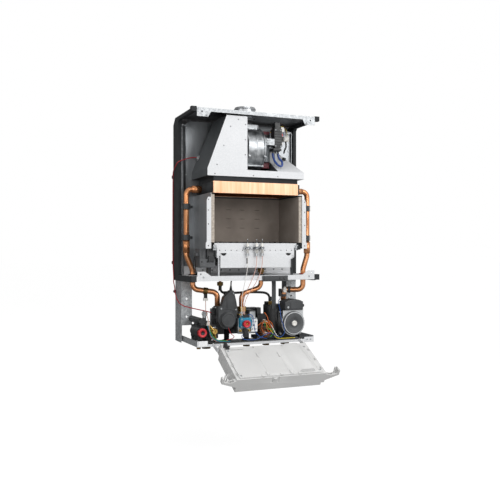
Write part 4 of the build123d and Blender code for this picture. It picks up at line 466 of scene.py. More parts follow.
wire("thermostatWire", [
    (-142, -60, 561.5), (-160, -62, 562), (-194, -61, 550), (-206, -61, 543), (-206, -42, 531),
    (-203.5, -12, 523), (-202.5, -6, 505), (-202.5, -4, 241), (-203, -16, 196), (-203, -15, 180),
    (-197.5, -8, 166), (-196.5, -6, 152), (-206, -60, 130), (-202, -90, 115), (-173, -112, 107),
    (-128, -137, 97), (-122, -140, 94)], 3.0, "red", ("thermostat_lead",))
wire("blueHose", [(63, -165.7, 571.4), (63.3, -167, 556), (73, -178, 535), (88, -181, 530.5),
                  (91.5, -173, 548), (81.3, -166.5, 558), (81, -165.7, 571.4)], 6.4, "hoseBlue",
     ("pressure_tubes",))
wire("clearHose", [(72, -165.7, 571.4), (73, -163.5, 557), (75.5, -160.5, 546), (76, -160, 535.5)], 6.4,
     "clear")
wire("vesselHose", [(-82, -100, 171.7), (-82, -100, 158), (-72, -99, 149), (-40, -97, 148.5), (0, -95, 149.5),
                    (40, -95, 149), (72, -96, 147), (84, -98, 136), (84, -100, 120.5)], 7.4, "black",
     ("expansion_hose",))
print("wires and hoses laid")


# small pieces are built from blocks and turned shapes, in the boiler's frame or in that of the open panel
front, up, down, right = (0, -1, 0), (0, 0, 1), (0, 0, -1), (1, 0, 0)
panelPlace = {"hingeY": -230.0, "hingeHeight": -2.0, "openBelow": 27.8}  # degrees below level
panelTurn = math.radians(panelPlace["openBelow"])


def onPanel(x, along, outward):
    return place(x, panelPlace["hingeY"] - along * math.cos(panelTurn) - outward * math.sin(panelTurn),
                 panelPlace["hingeHeight"] - along * math.sin(panelTurn) + outward * math.cos(panelTurn))


def addBlock(shape, x, y, height, look=0, to=place):
    for corner in bmesh.ops.create_cube(shape, size=1)["verts"]:
        corner.co = to(x[corner.co.x > 0], y[corner.co.y > 0], height[corner.co.z > 0])
        for face in corner.link_faces:
            face.material_index = look


# profile: radius and distance along the axis, and where given how far every second corner is drawn in
def addTurned(shape, profile, start, towards, sides=20, look=0, to=place):
    axis = Vector(towards).normalized()
    across = axis.orthogonal().normalized()
    over = axis.cross(across)
    rings = []
    for radius, along, *pinch in profile:
        ring = []
        for step in range(sides if radius else 1):
            turn = 2 * math.pi * step / sides
            out = radius * (pinch[0] if pinch and step % 2 else 1)
            spoke = across * math.cos(turn) + over * math.sin(turn)
            ring.append(shape.verts.new(to(*(Vector(start) + axis * along + spoke * out))))
        rings.append(ring)
    for low, high in zip(rings, rings[1:]):
        for step in range(sides):
            after = (step + 1) % sides
            corners = (low[step % len(low)], low[after % len(low)], high[after % len(high)],
                       high[step % len(high)])
            shape.faces.new(list(dict.fromkeys(corners))).material_index = look


def addPrism(shape, outline, depth):  # an outline of x and height, drawn out along y
    rings = [[shape.verts.new(place(x, y, height)) for x, height in outline] for y in depth]
    for ring in rings:
        shape.faces.new(ring)
    for step in range(len(outline)):
        after = (step + 1) % len(outline)
        shape.faces.new([rings[0][step], rings[0][after], rings[1][after], rings[1][step]])


def circleSpots(middle, radius, turns):  # places on a circle, at turns in degrees
    return [(middle[0] + radius * math.cos(math.radians(turn)),
             middle[1] + radius * math.sin(math.radians(turn))) for turn in turns]


def arcPoints(middle, radius, begin, end, steps):  # places on a round stretch of an outline
    return circleSpots(middle, radius, [begin + (end - begin) * step / steps for step in range(steps + 1)])


def fromShape(shape, name, finishes, body="boiler", bevelMm=0.0):
    bmesh.ops.remove_doubles(shape, verts=shape.verts, dist=0.0005 * mm)
    bmesh.ops.recalc_face_normals(shape, faces=shape.faces)
    mesh = bpy.data.meshes.new(name)
    shape.to_mesh(mesh)
    shape.free()
    return finishPiece(name, mesh, finishes, body, bevelMm)


# a piece from its dictionary: blocks by their spans, turned shapes by profile, start, way and sides,
# and prisms by outline and depth
def built(name, piece, finishes, body="boiler", to=place):
    shape = bmesh.new()
    for outline, depth in piece.get("prisms", []):
        addPrism(shape, outline, depth)
    for spans in piece.get("blocks", []):
        addBlock(shape, *spans, to=to)
    for turned in piece.get("turned", []):
        addTurned(shape, *turned, to=to)
    return fromShape(shape, name, finishes, body, piece.get("bevelMm", 0.0))


# screws, rivets, ribs and marks: one head is set on every point and turned to face its way
def headsTree():
    tree = bpy.data.node_groups.new("headsOnPoints", "GeometryNodeTree")
    for name, kind in (("Points", "Geometry"), ("Head", "Object"), ("Width", "Float"),
                       ("Finish", "Material")):
        tree.interface.new_socket(name, in_out="INPUT", socket_type="NodeSocket" + kind)
    tree.interface.new_socket("Heads", in_out="OUTPUT", socket_type="NodeSocketGeometry")
    given = addNode(tree, "NodeGroupInput", {}, {}).outputs
    facing = addNode(tree, "GeometryNodeInputNamedAttribute", {"data_type": "FLOAT_VECTOR"},
                     {"Name": "facing"}).outputs[0]
    turned = addNode(tree, "FunctionNodeAlignRotationToVector", {"axis": "Z"}, {"Vector": facing}).outputs[0]
    head = addNode(tree, "GeometryNodeObjectInfo", {}, {"Object": given["Head"]}).outputs["Geometry"]
    placed = addNode(tree, "GeometryNodeInstanceOnPoints", {},
                     {"Points": given["Points"], "Instance": head, "Rotation": turned,
                      "Scale": given["Width"]}).outputs[0]
    solid = addNode(tree, "GeometryNodeRealizeInstances", {}, {"Geometry": placed}).outputs[0]
    done = addNode(tree, "GeometryNodeSetMaterial", {},
                   {"Geometry": solid, "Material": given["Finish"]}).outputs[0]
    addNode(tree, "NodeGroupOutput", {}, {"Heads": done})
    return tree


headShapes = {  # sides, stretch across and the profile, all in parts of the head's width
    "rivet": (8, 1, [(0, -0.05), (0.5, -0.05), (0.47, 0.1), (0.3, 0.2), (0, 0.23)]),
    "rivetCore": (6, 1, [(0, 0), (0.5, 0), (0.5, 0.5), (0.3, 0.54), (0, 0.5)]),
    "panScrew": (12, 1, [(0, -0.05), (0.5, -0.05), (0.5, 0.1), (0.46, 0.22), (0.34, 0.29), (0.24, 0.3, 0.45),
                         (0.2, 0.12, 0.45), (0, 0.1)]),
    "hexScrew": (6, 1, [(0, -0.05), (0.62, -0.05), (0.62, 0.06), (0.5, 0.07), (0.5, 0.36), (0.42, 0.42),
                        (0.2, 0.38), (0, 0.38)]),
    "slotMark": (8, 0.08, [(0, -0.01), (0.5, -0.01), (0.5, 0.012), (0, 0.014)]),
    "gripRib": (6, 0.16, [(0, -0.5), (0.5, -0.5), (0.5, 0.4), (0.3, 0.5), (0, 0.5)]),
}
headObjects = {}
for kind, (sides, stretch, profile) in headShapes.items():
    shape = bmesh.new()
    addTurned(shape, profile, (0, 0, 0), up, sides, to=lambda x, y, z: Vector((x, y * stretch, z)))
    bmesh.ops.recalc_face_normals(shape, faces=shape.faces)
    headObjects[kind] = bpy.data.objects.new(kind, bpy.data.meshes.new(kind))
    shape.to_mesh(headObjects[kind].data)
    shape.free()
    scene.collection.objects.link(headObjects[kind])
headsNodes = headsTree()


def heads(name, kind, spots, facing, widthMm, look="zinc", body="boiler", to=place):
    points = bpy.data.meshes.new(name)
    points.from_pydata([to(*spot) for spot in spots], [], [])
    facings = points.attributes.new("facing", "FLOAT_VECTOR", "POINT").data
    facings.foreach_set("vector", [*facing] * len(spots))
    source = bpy.data.objects.new(name, points)
    scene.collection.objects.link(source)
    modifier = source.modifiers.new("heads", "NODES")
    modifier.node_group = headsNodes
    given = {"Head": headObjects[kind], "Width": widthMm * mm, "Finish": looks[look]}
    for socket in headsNodes.interface.items_tree:
        if socket.name in given:
            modifier[socket.identifier] = given[socket.name]
    mesh = bpy.data.meshes.new_from_object(source.evaluated_get(bpy.context.evaluated_depsgraph_get()))
    source.modifiers.remove(modifier)
    bpy.data.objects.remove(source)
    return finishPiece(name, mesh, [], body, smoothBelow=32)


# rivets and screws of the sheet metal
hoodRivets = {"face": -193.0, "width": 4.4, "coreWidth": 2.2, "spots": [
    (-59.4, 660.5), (-83.9, 638.7), (-104.9, 582.2), (-125.7, 526.1), (-132.3, 499.6), (-37.2, 647.1),
    (-37.5, 602.9), (-37.5, 559), (-12.1, 499), (67.1, 499)]}
hoodSpots = [(x, hoodRivets["face"], height) for x, height in hoodRivets["spots"]]
heads("hoodRivets", "rivet", hoodSpots, front, hoodRivets["width"])
# near-black cores: painted shade in the rivets' hollows
heads("hoodRivetCores", "rivetCore", hoodSpots, front, hoodRivets["coreWidth"], "darkHole")
panelRivets = {"face": -45.0, "width": 5.0, "columns": (-172, -60, 60, 172),
               "rows": (239.8, 330, 420, 510, 600, 655)}
heads("backPanelRivets", "rivet", [(x, panelRivets["face"], row) for x in panelRivets["columns"]
                                   for row in panelRivets["rows"]], front, panelRivets["width"])
flueScrews = {"height": 687.0, "ring": 39.0, "centre": (0, -98), "width": 6.0, "turns": (45, 135, 225, 315)}
heads("flueScrews", "panScrew",
      [(*spot, flueScrews["height"])
       for spot in circleSpots(flueScrews["centre"], flueScrews["ring"], flueScrews["turns"])],
      up, flueScrews["width"])
tabScrews = {"face": -200.0, "width": 6.0, "spots": [(-160, 664), (160, 664), (-169, 201.6), (169, 201.6)]}
heads("tabScrews", "panScrew", [(x, tabScrews["face"], height) for x, height in tabScrews["spots"]],
      front, tabScrews["width"])
# dark slits on the back board: painted shade
boardMarks = {"face": -56.6, "columns": (-38, 7, 58), "rows": (405, 377, 348.5), "length": 20.0}
heads("boardMarks", "slotMark", [(x, boardMarks["face"], row) for x in boardMarks["columns"]
                                 for row in boardMarks["rows"]], front, boardMarks["length"],
      "boardShade")
print("rivets, screws and marks set")

# fan: flange rings and seam round the scroll, screws in its lugs, the clamp on its outlet
fan = {"middle": (-123.0, 585.0), "bevelMm": 0.5,
       "rings": ((-24.2, 3.6, 4.2), (3.0, 0.9, 2.4), (28.0, 3.4, 4.2)),  # start, how proud, width
       "blocks": [((-20, 27), (-131, -126.4), (628, 661)), ((-8, 20), (-134, -130), (640, 652))]}
fan["turned"] = [([(61, 0), (62 + proud, 0.4), (62 + proud, width - 0.4), (61, width), (61, 0)],
                  (begin, *fan["middle"]), right, 56) for begin, proud, width in fan["rings"]]
built("fanFlanges", fan, ["cast"])
fanLugs = {"turns": (205, 235, 325, 350), "reach": 65.0, "screwFace": 31.8, "screwWidth": 6.0,
           "ends": ((-24.4, 8), (24.8, 7))}  # where each lug starts and how long it is
lugSpots = circleSpots(fan["middle"], fanLugs["reach"], fanLugs["turns"])
fanLugs["turned"] = [([(0, 0), (4.2, 0), (4.8, 1), (4.8, long - 1), (4.2, long), (0, long)],
                      (begin, *spot), right, 14) for spot in lugSpots for begin, long in fanLugs["ends"]]
built("fanLugs", fanLugs, ["cast"])
heads("fanLugScrews", "hexScrew", [(fanLugs["screwFace"], *spot) for spot in lugSpots], right,
      fanLugs["screwWidth"])
heads("fanFrontScrews", "panScrew", [(-4, -134, 646), (16, -134, 646), (-15, -131, 634), (22, -131, 634)],
      front, 6.0)
fanClamp = {"bevelMm": 0.4, "blocks": [((-7, 7), (-134.5, -128), (664.8, 673.2))], "turned": [
    ([(28.7, 0), (30.2, 0.3), (30.2, 7.3), (28.7, 7.6), (28.7, 0)], (0, -98, 665.2), up, 40),
    ([(0, 0), (2.4, 0.3), (2.4, 25), (0, 25.3)], (-12.5, -131.5, 669), right, 10)]}
built("fanClamp", fanClamp, ["nylon"])

# fan motor: bobbin cheeks, tag board, and the screws of its strap
coilCheeks = {"bevelMm": 0.4, "blocks": [
    ((35.2, 37), (-143.5, -102.5), (536.4, 547.9)), ((61.8, 63.6), (-143.5, -102.5), (536.4, 547.9)),
    ((35.2, 37), (-143.5, -102.5), (622.1, 633.6)), ((61.8, 63.6), (-143.5, -102.5), (622.1, 633.6)),
    ((42, 60), (-146, -141.4), (626, 631))]}
built("coilCheeks", coilCheeks, ["nylon"])
heads("motorScrews", "panScrew", [(40, -181, 608), (40, -181, 599)], front, 5.5)
heads("bridgeScrews", "hexScrew", [(68, -143, 585), (68, -103, 585)], right, 6.0)

# air pressure switch: ribs, cover screws and its tag terminals with their plugs
switch = {"bevelMm": 0.4, "ribs": (596, 604, 612, 620, 628, 636), "ribTall": 2.2, "screwWidth": 4.4,
          "screws": [(67, -178.7, 641), (84, -178.7, 641), (67, -178.7, 592.5), (84, -178.7, 592.5)],
          "turned": [([(9, 0), (9.6, 0.6), (9.6, 3.2), (8.4, 4), (6.4, 4), (6, 3), (0, 3)],
                      (88, -165.4, 616), right, 28)]}
switch["blocks"] = [((58.8, 85.2), (-181.2, -178.5), (579, 585))] \
    + [((64.5, 86.5), (-180.2, -178.4), (low, low + switch["ribTall"])) for low in switch["ribs"]]
built("switchRibs", switch, ["nylon"])
heads("switchScrews", "panScrew", switch["screws"], front, switch["screwWidth"])
switchPlugs = {"bevelMm": 0.8, "blocks": [
    ((88.2, 97), (-172, -158), (637, 652)), ((97, 101), (-169, -161), (639, 650)),
    ((88.2, 95), (-170, -160), (598, 606))]}
built("switchPlugs", switchPlugs, ["whiteNylon"])
switchTag = {"bevelMm": 0.6, "blocks": [
    ((88.2, 94), (-171, -159), (624, 632)), ((94, 96.5), (-168, -162), (625.5, 630.5))]}
built("switchTag", switchTag, ["redPlastic"])
fanPlugs = {"bevelMm": 1.0, "blocks": [
    ((118, 136), (-129, -115), (617, 633)), ((120.5, 133.5), (-131, -128.6), (620, 630)),
    ((94, 106), (-130, -118), (650, 664)), ((96, 104), (-131.6, -129.6), (652.5, 661.5))]}
built("fanPlugs", fanPlugs, ["whiteNylon"])
print("fan and pressure switch fitted")

# thermostat on the hood's side, and the clips that hold its lead
thermostat = {"turned": [
    ([(0, 0.3), (8.6, 0.3), (8.6, 1.1), (6.2, 1.3), (5.8, 4.4), (4.8, 5), (2, 5), (1.6, 6.4), (0, 6.6)],
     (-137.6, -60, 560), (-156.4, 0, 58.9), 24)]}
built("thermostatDisc", thermostat, ["zinc"])
leadClips = {"bevelMm": 0.7, "blocks": [
    ((-205.3, -200.3), (-9, -2), (500, 510)), ((-206.2, -204.8), (-7.6, -3.4), (503, 507)),
    ((-205.3, -200.3), (-8, -1), (236, 246)), ((-206.2, -204.8), (-6.6, -2.4), (239, 243)),
    ((-199, -193.3), (-10, -3), (147, 157)), ((-201.5, -199), (-8.6, -4.4), (149, 155)),
    ((-125, -114), (-145, -134), (88, 98)), ((-123, -116), (-147, -145), (90, 96))]}
built("leadClips", leadClips, ["nylon"])

# electrodes: steel clamps and springs, and the screw that holds their strip
clamps = {"collars": ((262.4, 7.6, 4.4), (283.4, 2.2, 6.2), (288.2, 1.6, 5.8)),  # foot, how tall, radius
          "bore": 3.65, "tipFoot": 307.8,
          "tip": [(0, 0), (1.9, 0.2), (2.3, 1.4), (1.3, 2.6), (1.3, 4.4), (0, 4.6)]}
clamps["turned"] = [(clamps["tip"], (x, -197, clamps["tipFoot"]), up, 12) for x in electrodeX]
for low, tall, radius in clamps["collars"]:
    collar = [(clamps["bore"], 0), (radius - 0.4, 0), (radius, 0.4), (radius, tall - 0.4),
              (radius - 0.4, tall), (clamps["bore"], tall), (clamps["bore"], 0)]
    clamps["turned"] += [(collar, (x, -197, low), up, 20) for x in electrodeX]
built("electrodeClamps", clamps, ["stainless"])
heads("electrodeScrews", "hexScrew", [(-19, -194.1, 287)], front, 8.0)
print("thermostat and electrodes fitted")

# pump: silver plate behind its dark face, rings on the face, flange bolts
pump = {"x": 123.7, "height": 58.5, "radius": 38.3, "half": 34.0, "top": 97.4, "face": -190.0,
        "rings": ((31.4, 2.2, 0.7, 1), (8.6, 2.6, 0.9, 0), (22, 0.8, 0.3, 0)),  # radius, width, proud, finish
        "boltFace": -161.6, "boltReach": 33, "boltWidth": 6.4}
shoulder = math.degrees(math.acos(pump["half"] / pump["radius"]))
flange = [(pump["x"] - pump["half"], pump["top"]), (pump["x"] + pump["half"], pump["top"])] \
    + arcPoints((pump["x"], pump["height"]), pump["radius"], shoulder, -180 - shoulder, 48)
pumpPlate = {"bevelMm": 0.4, "prisms": [(flange, (-176, -182.6))]}
built("pumpPlate", pumpPlate, ["silverLabel"])
pump["turned"] = [([(radius, -0.3), (radius, proud), (radius + width, proud), (radius + width + 0.4, -0.3),
                    (radius, -0.3)], (pump["x"], pump["face"], pump["height"]), front, 64, look)
                  for radius, width, proud, look in pump["rings"]]
built("pumpFaceRings", pump, ["sparkCase", "silverLabel"])
boltSpots = [(pump["x"] + across, pump["boltFace"], pump["height"] + lift)
             for across in (-pump["boltReach"], pump["boltReach"])
             for lift in (-pump["boltReach"], pump["boltReach"])]
heads("pumpBolts", "hexScrew", boltSpots, front, pump["boltWidth"])

# terminal box: its lid stands a little proud, held by one screw, with a cable gland at its side
terminalBox = {"left": 93.1, "right": 154.9, "low": 98.2, "crown": 131.4, "arch": 62.1, "bevelMm": 0.6}
boxMiddle = ((terminalBox["left"] + terminalBox["right"]) / 2, terminalBox["crown"] - terminalBox["arch"])
archTurn = math.degrees(math.asin((terminalBox["right"] - boxMiddle[0]) / terminalBox["arch"]))
lid = [(terminalBox["left"], terminalBox["low"])] \
    + arcPoints(boxMiddle, terminalBox["arch"], 90 + archTurn, 90 - archTurn, 16) \
    + [(terminalBox["right"], terminalBox["low"])]
terminalBox["prisms"] = [(lid, (-158, -160.4)),
                         ([(110, 120), (148, 120), (148, 101.5), (110, 101.5)], (-189, -190.9))]
built("terminalLid", terminalBox, ["housing"])
gland = {"turned": [([(0, 0), (7.4, 0), (7.4, 4), (5.4, 4.2), (5.2, 8), (4.2, 10.4), (0, 10.4)],
                     (154.3, -172, 110), right, 12)]}
built("terminalGland", gland, ["nylon"])
heads("terminalScrew", "panScrew", [(102.5, -191.4, 106.5)], front, 7.0)

# diverter motor: raised cover panel, dished cap, screws and the boot of its cable
diverterCover = {"bevelMm": 0.7, "blocks": [((-86.5, -84.5), (-170.6, -169), (110, 140))], "prisms": [
    ([(-108, 98), (-108, 111.5), (-98.5, 111), (-91, 137.5), (-75.5, 151.5), (-68, 151.5), (-60, 127),
      (-56, 105), (-62, 101)] + arcPoints((-85, 75), 31, 48, 128, 10), (-167, -169.4))]}
built("diverterCover", diverterCover, ["housing"])
diverterCap = {"turned": [
    ([(19.2, -0.5), (19.2, 0.7), (17.6, 0.7), (16.6, -0.1), (4, -0.1), (0, 0.5)], (-85, -181, 75), front, 48),
    ([(28.2, 0), (29.4, 0.6), (29.4, 2.4), (28.2, 3), (28.2, 0)], (-84.5, -150, 76), front, 56)]}
built("diverterCap", diverterCap, ["housing"])
heads("diverterScrews", "panScrew", [(-104, -170, 108), (-66, -170, 152), (-58, -170, 104)], front, 5.4)
boot = {"turned": [
    ([(0, -1), (4.8, -1), (5, 1.6), (3.9, 2.4), (4.5, 3.6), (3.5, 4.6), (4.1, 5.8), (3.2, 6.8), (3.7, 8),
      (2.9, 9), (3.1, 11), (2.3, 14), (0, 14)], (-69.5, -157, 160), (0.06, 0.06, 1), 18)]}
built("diverterBoot", boot, ["nylon"])
print("pump and diverter motor finished")

# left water group: sensor, ribs, spring clips and a white plug with its wires
groupRibs = {"bevelMm": 0.6, "ribs": (-171, -163, -155, -147, -139), "turned": [
    ([(0, 0), (9, 0), (10, 1), (10, 7), (8.6, 8), (0, 8)], (-140, -128, 60), up, 24),
    ([(0, 0), (6.4, 0), (7, 0.8), (7, 6), (5, 7), (5, 13), (4, 14), (0, 14)], (-98, -140, 61), front, 20)]}
groupRibs["blocks"] = [((x, x + 2), (-152.2, -149), (13, 30)) for x in groupRibs["ribs"]] \
    + [((-146, -112), (-153.4, -149), (56, 60.5)), ((-113, -107), (-152, -146), (20, 52))]
built("flowGroupRibs", groupRibs, ["nylon"])
pressureSensor = {"turned": [
    ([(0, 0), (8.2, 0), (8.8, 1), (8.8, 4), (8, 5), (6.2, 5), (5.8, 9), (0, 9)], (-140, -122, 91), front, 28),
    ([(0, 0), (5.6, 0), (5.6, 22), (0, 22)], (-140, -122, 69), up, 20)]}
built("pressureSensor", pressureSensor, ["cast"])
sensorPlug = {"bevelMm": 0.8, "blocks": [
    ((-149, -139), (-170, -160), (60, 71)), ((-147, -141), (-172, -169), (62, 69)),
    ((-146, -142), (-166, -162), (71, 75)), ((110, 121), (-144, -135), (149, 162)),
    ((112, 119), (-142, -137), (161, 166))]}
built("sensorPlug", sensorPlug, ["whiteNylon"])
plugWires = {
    "plugBlueWire": ("coilBlue", [
        (-145, -166, 60.5), (-147.5, -175, 57), (-148, -185, 52), (-145.5, -188, 41), (-138, -189.5, 26),
        (-122, -190, 17), (-104, -190, 15), (-84, -190, 15)]),
    "plugGreenWire": ("green", [
        (-142, -166, 60.5), (-144.5, -175, 57.5), (-145, -185.5, 52), (-142, -188.5, 40), (-132, -190, 24),
        (-114, -190.5, 17.5), (-92, -190.5, 16)]),
}
for name, (look, route) in plugWires.items():
    wire(name, route, 2.0, look)
springClips = {"profile": [(12.1, 0), (13.2, 0.3), (13.2, 2.1), (12.1, 2.4), (12.1, 0)],
               "spots": [((-97.5, -118, 107.5), up), ((118, -125, 118), up), ((-120, -149, 40), front)]}
springClips["turned"] = [(springClips["profile"], spot, way, 28) for spot, way in springClips["spots"]]
built("springClips", springClips, ["stainless"])
heads("flowGroupScrews", "panScrew", [(-172, -150, 52), (-116, -150, 52), (-172, -150, 14), (-126, -150, 16)],
      front, 6.0)
fillingNuts = {"bevelMm": 0.3, "profile": [(0, 0), (8.6, 0), (9.4, 0.8), (9.4, 5.4), (8.6, 6.2), (0, 6.2)],
               "spots": [((-128, -151, 44), front), ((-141.6, -160, 63.6), (-0.565, 0, 0.825)),
                         ((-127, -160, 30), (0.1, 0, -1))]}
fillingNuts["turned"] = [(fillingNuts["profile"], spot, way, 6) for spot, way in fillingNuts["spots"]]
built("fillingNuts", fillingNuts, ["brass"])
print("left water group finished")

# gas valve: screws, pressure test points, coil plug, and painted shade for the holes of its plate and of the
# burner's
heads("gasValveScrews", "hexScrew", [(-10, -180.2, 46), (1, -180.2, 46), (-10, -180.2, 68), (1, -180.2, 68)],
      front, 4.2)
# flat near-black shapes standing in for holes: painted shade
plateHoles = {"bevelMm": 0.1,
              "turned": [([(0, 0), (2.8, 0), (2.8, 0.5), (0, 0.5)], (-4.5, -178.9, 57), front, 20)],
              "prisms": [([(-33, 240), (-33, 256), (-29.6, 256), (-29.6, 240)], (-190.4, -189.6))]}
built("plateHoles", plateHoles, ["darkHole"])
testPoint = [(0, 0), (4.4, 0), (4.4, 3), (3, 3.4), (3, 8), (2.2, 9), (0, 9)]
gasFittings = {"bevelMm": 0.3, "turned": [
    (testPoint, (-47, -174.6, 42), front, 12), (testPoint, (-20, -174.6, 42), front, 12),
    ([(0, 0), (15.4, 0), (16.2, 0.8), (16.2, 3.4), (15.2, 4.2), (0, 4.2)], (-33, -150, 86), up, 6)]}
built("gasValveFittings", gasFittings, ["brass"])
gasPlugs = {"bevelMm": 0.8, "blocks": [
    ((-43, -23), (-188, -176), (80.6, 88)), ((-40, -26), (-184, -178), (87, 91)),
    ((-39, -26), (-187, -176), (23.4, 48.2)), ((-37, -28), (-188.4, -186), (28, 44)),
    ((-12.6, 5.6), (-166, -120), (96.4, 99.6)), ((-2, 9.4), (-172, -163), (40, 55))]}
built("gasValvePlugs", gasPlugs, ["nylon"])
heads("coilScrews", "panScrew", [(-48, -191, 55), (-18, -191, 55), (-48, -191, 77), (-18, -191, 77)],
      front, 4.2)
capGrips = {"middle": (-34.5, 63.5), "ring": 9.9, "face": -196.2, "length": 8.0, "step": 20}
heads("gasCapGrips", "gripRib",
      [(x, capGrips["face"], height) for x, height in
       circleSpots(capGrips["middle"], capGrips["ring"], range(0, 360, capGrips["step"]))],
      front, capGrips["length"], "redPlastic")

# flow meter between the gas valve and the pump: brown rings on black, with a loom of loose wires
flowMeter = {"bevelMm": 1.4, "spot": (45.0, -134.0), "rings": (15, 21, 27, 33, 39, 45),
             "ringProfile": [(14.2, 0), (15.8, 0.4), (15.8, 2.6), (14.2, 3), (14.2, 0)],
             "blocks": [((30, 60), (-126, -108), (20, 84)), ((26, 40), (-130, -112), (84, 104))]}
flowMeter["turned"] = [([(0, 12), (13.8, 12), (14.4, 12.8), (14.4, 49), (12.6, 51.4), (0, 51.4)],
                        (*flowMeter["spot"], 0), up, 36)]
built("flowMeterBody", flowMeter, ["nylon"])
meterRings = {"turned": [(flowMeter["ringProfile"], (*flowMeter["spot"], height), up, 40)
                         for height in flowMeter["rings"]]}
built("flowMeterRings", meterRings, ["copperFin"])
meterPlug = {"bevelMm": 0.6, "blocks": [((38, 48), (-160, -150), (22, 32))], "turned": [
    ([(0, 0), (6.4, 0), (7, 0.8), (7, 6), (5.4, 7), (5, 10), (0, 10)], (45, -140, 58), (0, -0.6, 1), 20)]}
built("flowMeterPlug", meterPlug, ["whiteNylon"])
loom = {
    "meterOrangeLoop": ("orange", [
        (43, -146, 66), (34, -158, 62), (26, -164, 48), (30, -168, 32), (44, -170, 28), (56, -168, 36),
        (58, -162, 52), (52, -156, 68), (50, -150, 84), (44, -146, 90)]),
    "meterAmberLoop": ("orange", [
        (47, -148, 66), (58, -158, 66), (64, -166, 52), (60, -172, 38), (50, -176, 30), (40, -178, 40),
        (38, -174, 56), (44, -168, 64), (54, -164, 58), (60, -170, 44)]),
    "meterGreenWire": ("green", [
        (45, -149, 66), (38, -160, 58), (36, -172, 48), (42, -180, 42), (54, -180, 44), (60, -178, 36),
        (56, -180, 26), (48, -182, 20)]),
    "meterBrownLoop": ("brown", [
        (41, -148, 66), (30, -156, 68), (22, -162, 56), (20, -168, 40), (26, -174, 28), (38, -178, 24),
        (50, -180, 26), (56, -176, 36)]),
    "meterWhiteWire": ("white", [
        (49, -150, 64), (56, -166, 56), (62, -176, 40), (66, -182, 26), (74, -186, 18)]),
}
for name, (look, route) in loom.items():
    wire(name, route, 2.4, look)
print("gas valve and flow meter finished")

# spark generator: two stepped boxes with ribs, terminals and black leads down to the loom
sparkBox = {"bevelMm": 1.2, "ribs": (-163, -153, -143, -133), "terminalX": (-178.4, -172.4),
            "terminalY": (-160, -146)}
sparkBox["blocks"] = [((-172, -124.6), (-176, -128), (229, 254)), ((-170, -126), (-168, -128), (253, 284))] \
    + [((x, x + 1.6), (-169.4, -167), (257, 281)) for x in sparkBox["ribs"]] \
    + [((-171, -150), (-177.2, -175), (232, 238))] \
    + [((x, x + 6.8), (y, y + 6), (262, 272)) for x in sparkBox["terminalX"] for y in sparkBox["terminalY"]]
built("sparkBox", sparkBox, ["sparkCase"])
heads("sparkScrews", "panScrew", [(-166, -176, 246), (-132, -176, 246), (-149, -176, 246)], front, 5.0,
      "nylon")
sparkWires = {
    "sparkLead1": [(-176, -154, 262), (-178, -152, 246), (-176, -146, 226), (-172, -140, 212),
                   (-160, -132, 207.4)],
    "sparkLead2": [(-176, -142, 262), (-179, -138, 244), (-177, -132, 224), (-170, -126, 210),
                   (-158, -122, 207.4)],
}
for name, route in sparkWires.items():
    wire(name, route, 3.0, "black")

# burner: spring catches at the ends of its tray and the cable post on the floor
catchDisc = [(0, 0), (4.6, 0), (5, 0.5), (5, 2.4), (4.2, 3), (2, 3), (1.8, 2), (0, 2)]
trayCatches = {"bevelMm": 0.5,
               "blocks": [(x, (-190.4, -187.6), (279, 295)) for x in ((-137, -126), (126, 137))],
               "turned": [(catchDisc, (side * 131, -190, 288), front, 20) for side in (-1, 1)]}
built("trayCatches", trayCatches, ["zinc"])
trayRubber = {"bevelMm": 0.8, "blocks": [((132.4, 143), (-194.5, -186), (281, 292)),
                                         ((112.5, 117), (-196, -191), (205, 254))]}
built("trayRubber", trayRubber, ["foam"])
print("spark generator and burner finished")

# hose fittings, cable ties and the blank plate on the left bracket
ferrules = {"turned": [
    ([(0, 0), (5.2, 0), (5.6, 0.6), (5.6, 3), (4.9, 3.6), (4.9, 12), (5.4, 12.6), (5.4, 15), (0, 15)],
     (-82, -100, 157), up, 24),
    ([(4, 0), (5.4, 0.3), (5.4, 14), (4.8, 14.4), (4.8, 18), (4, 18.4), (4, 0)],
     (-70, -99, 149.2), right, 24),
    ([(4, 0), (5.4, 0.3), (5.4, 13), (4, 13.4), (4, 0)], (84, -100, 121), up, 24)]}
built("hoseFerrules", ferrules, ["nylon"])
cableTies = {"bevelMm": 0.2, "band": [(4.3, 0), (5.3, 0.3), (5.3, 3), (4.3, 3.3), (4.3, 0)],
             "spots": [(-100, -186, 9.5), (-45, -185.4, 9.6), (15, -186, 9.5), (70, -186, 9.5),
                       (115, -186, 9.5)]}
cableTies["turned"] = [(cableTies["band"], spot, right, 20) for spot in cableTies["spots"]]
cableTies["blocks"] = [((x - 0.4, x + 3.8), (y - 2, y + 2), (height + 4.8, height + 7.6))
                       for x, y, height in cableTies["spots"]]
built("cableTies", cableTies, ["nylon"])
blankPlate = {"bevelMm": 0.4, "blocks": [((-181.6, -156.4), (-197.4, -196.2), (4.6, 18.6))]}
built("blankPlate", blankPlate, ["whitePlate"])
heads("bracketScrews", "panScrew", [(163.4, -196.5, 9), (175.4, -196.5, 9)], front, 5.6)

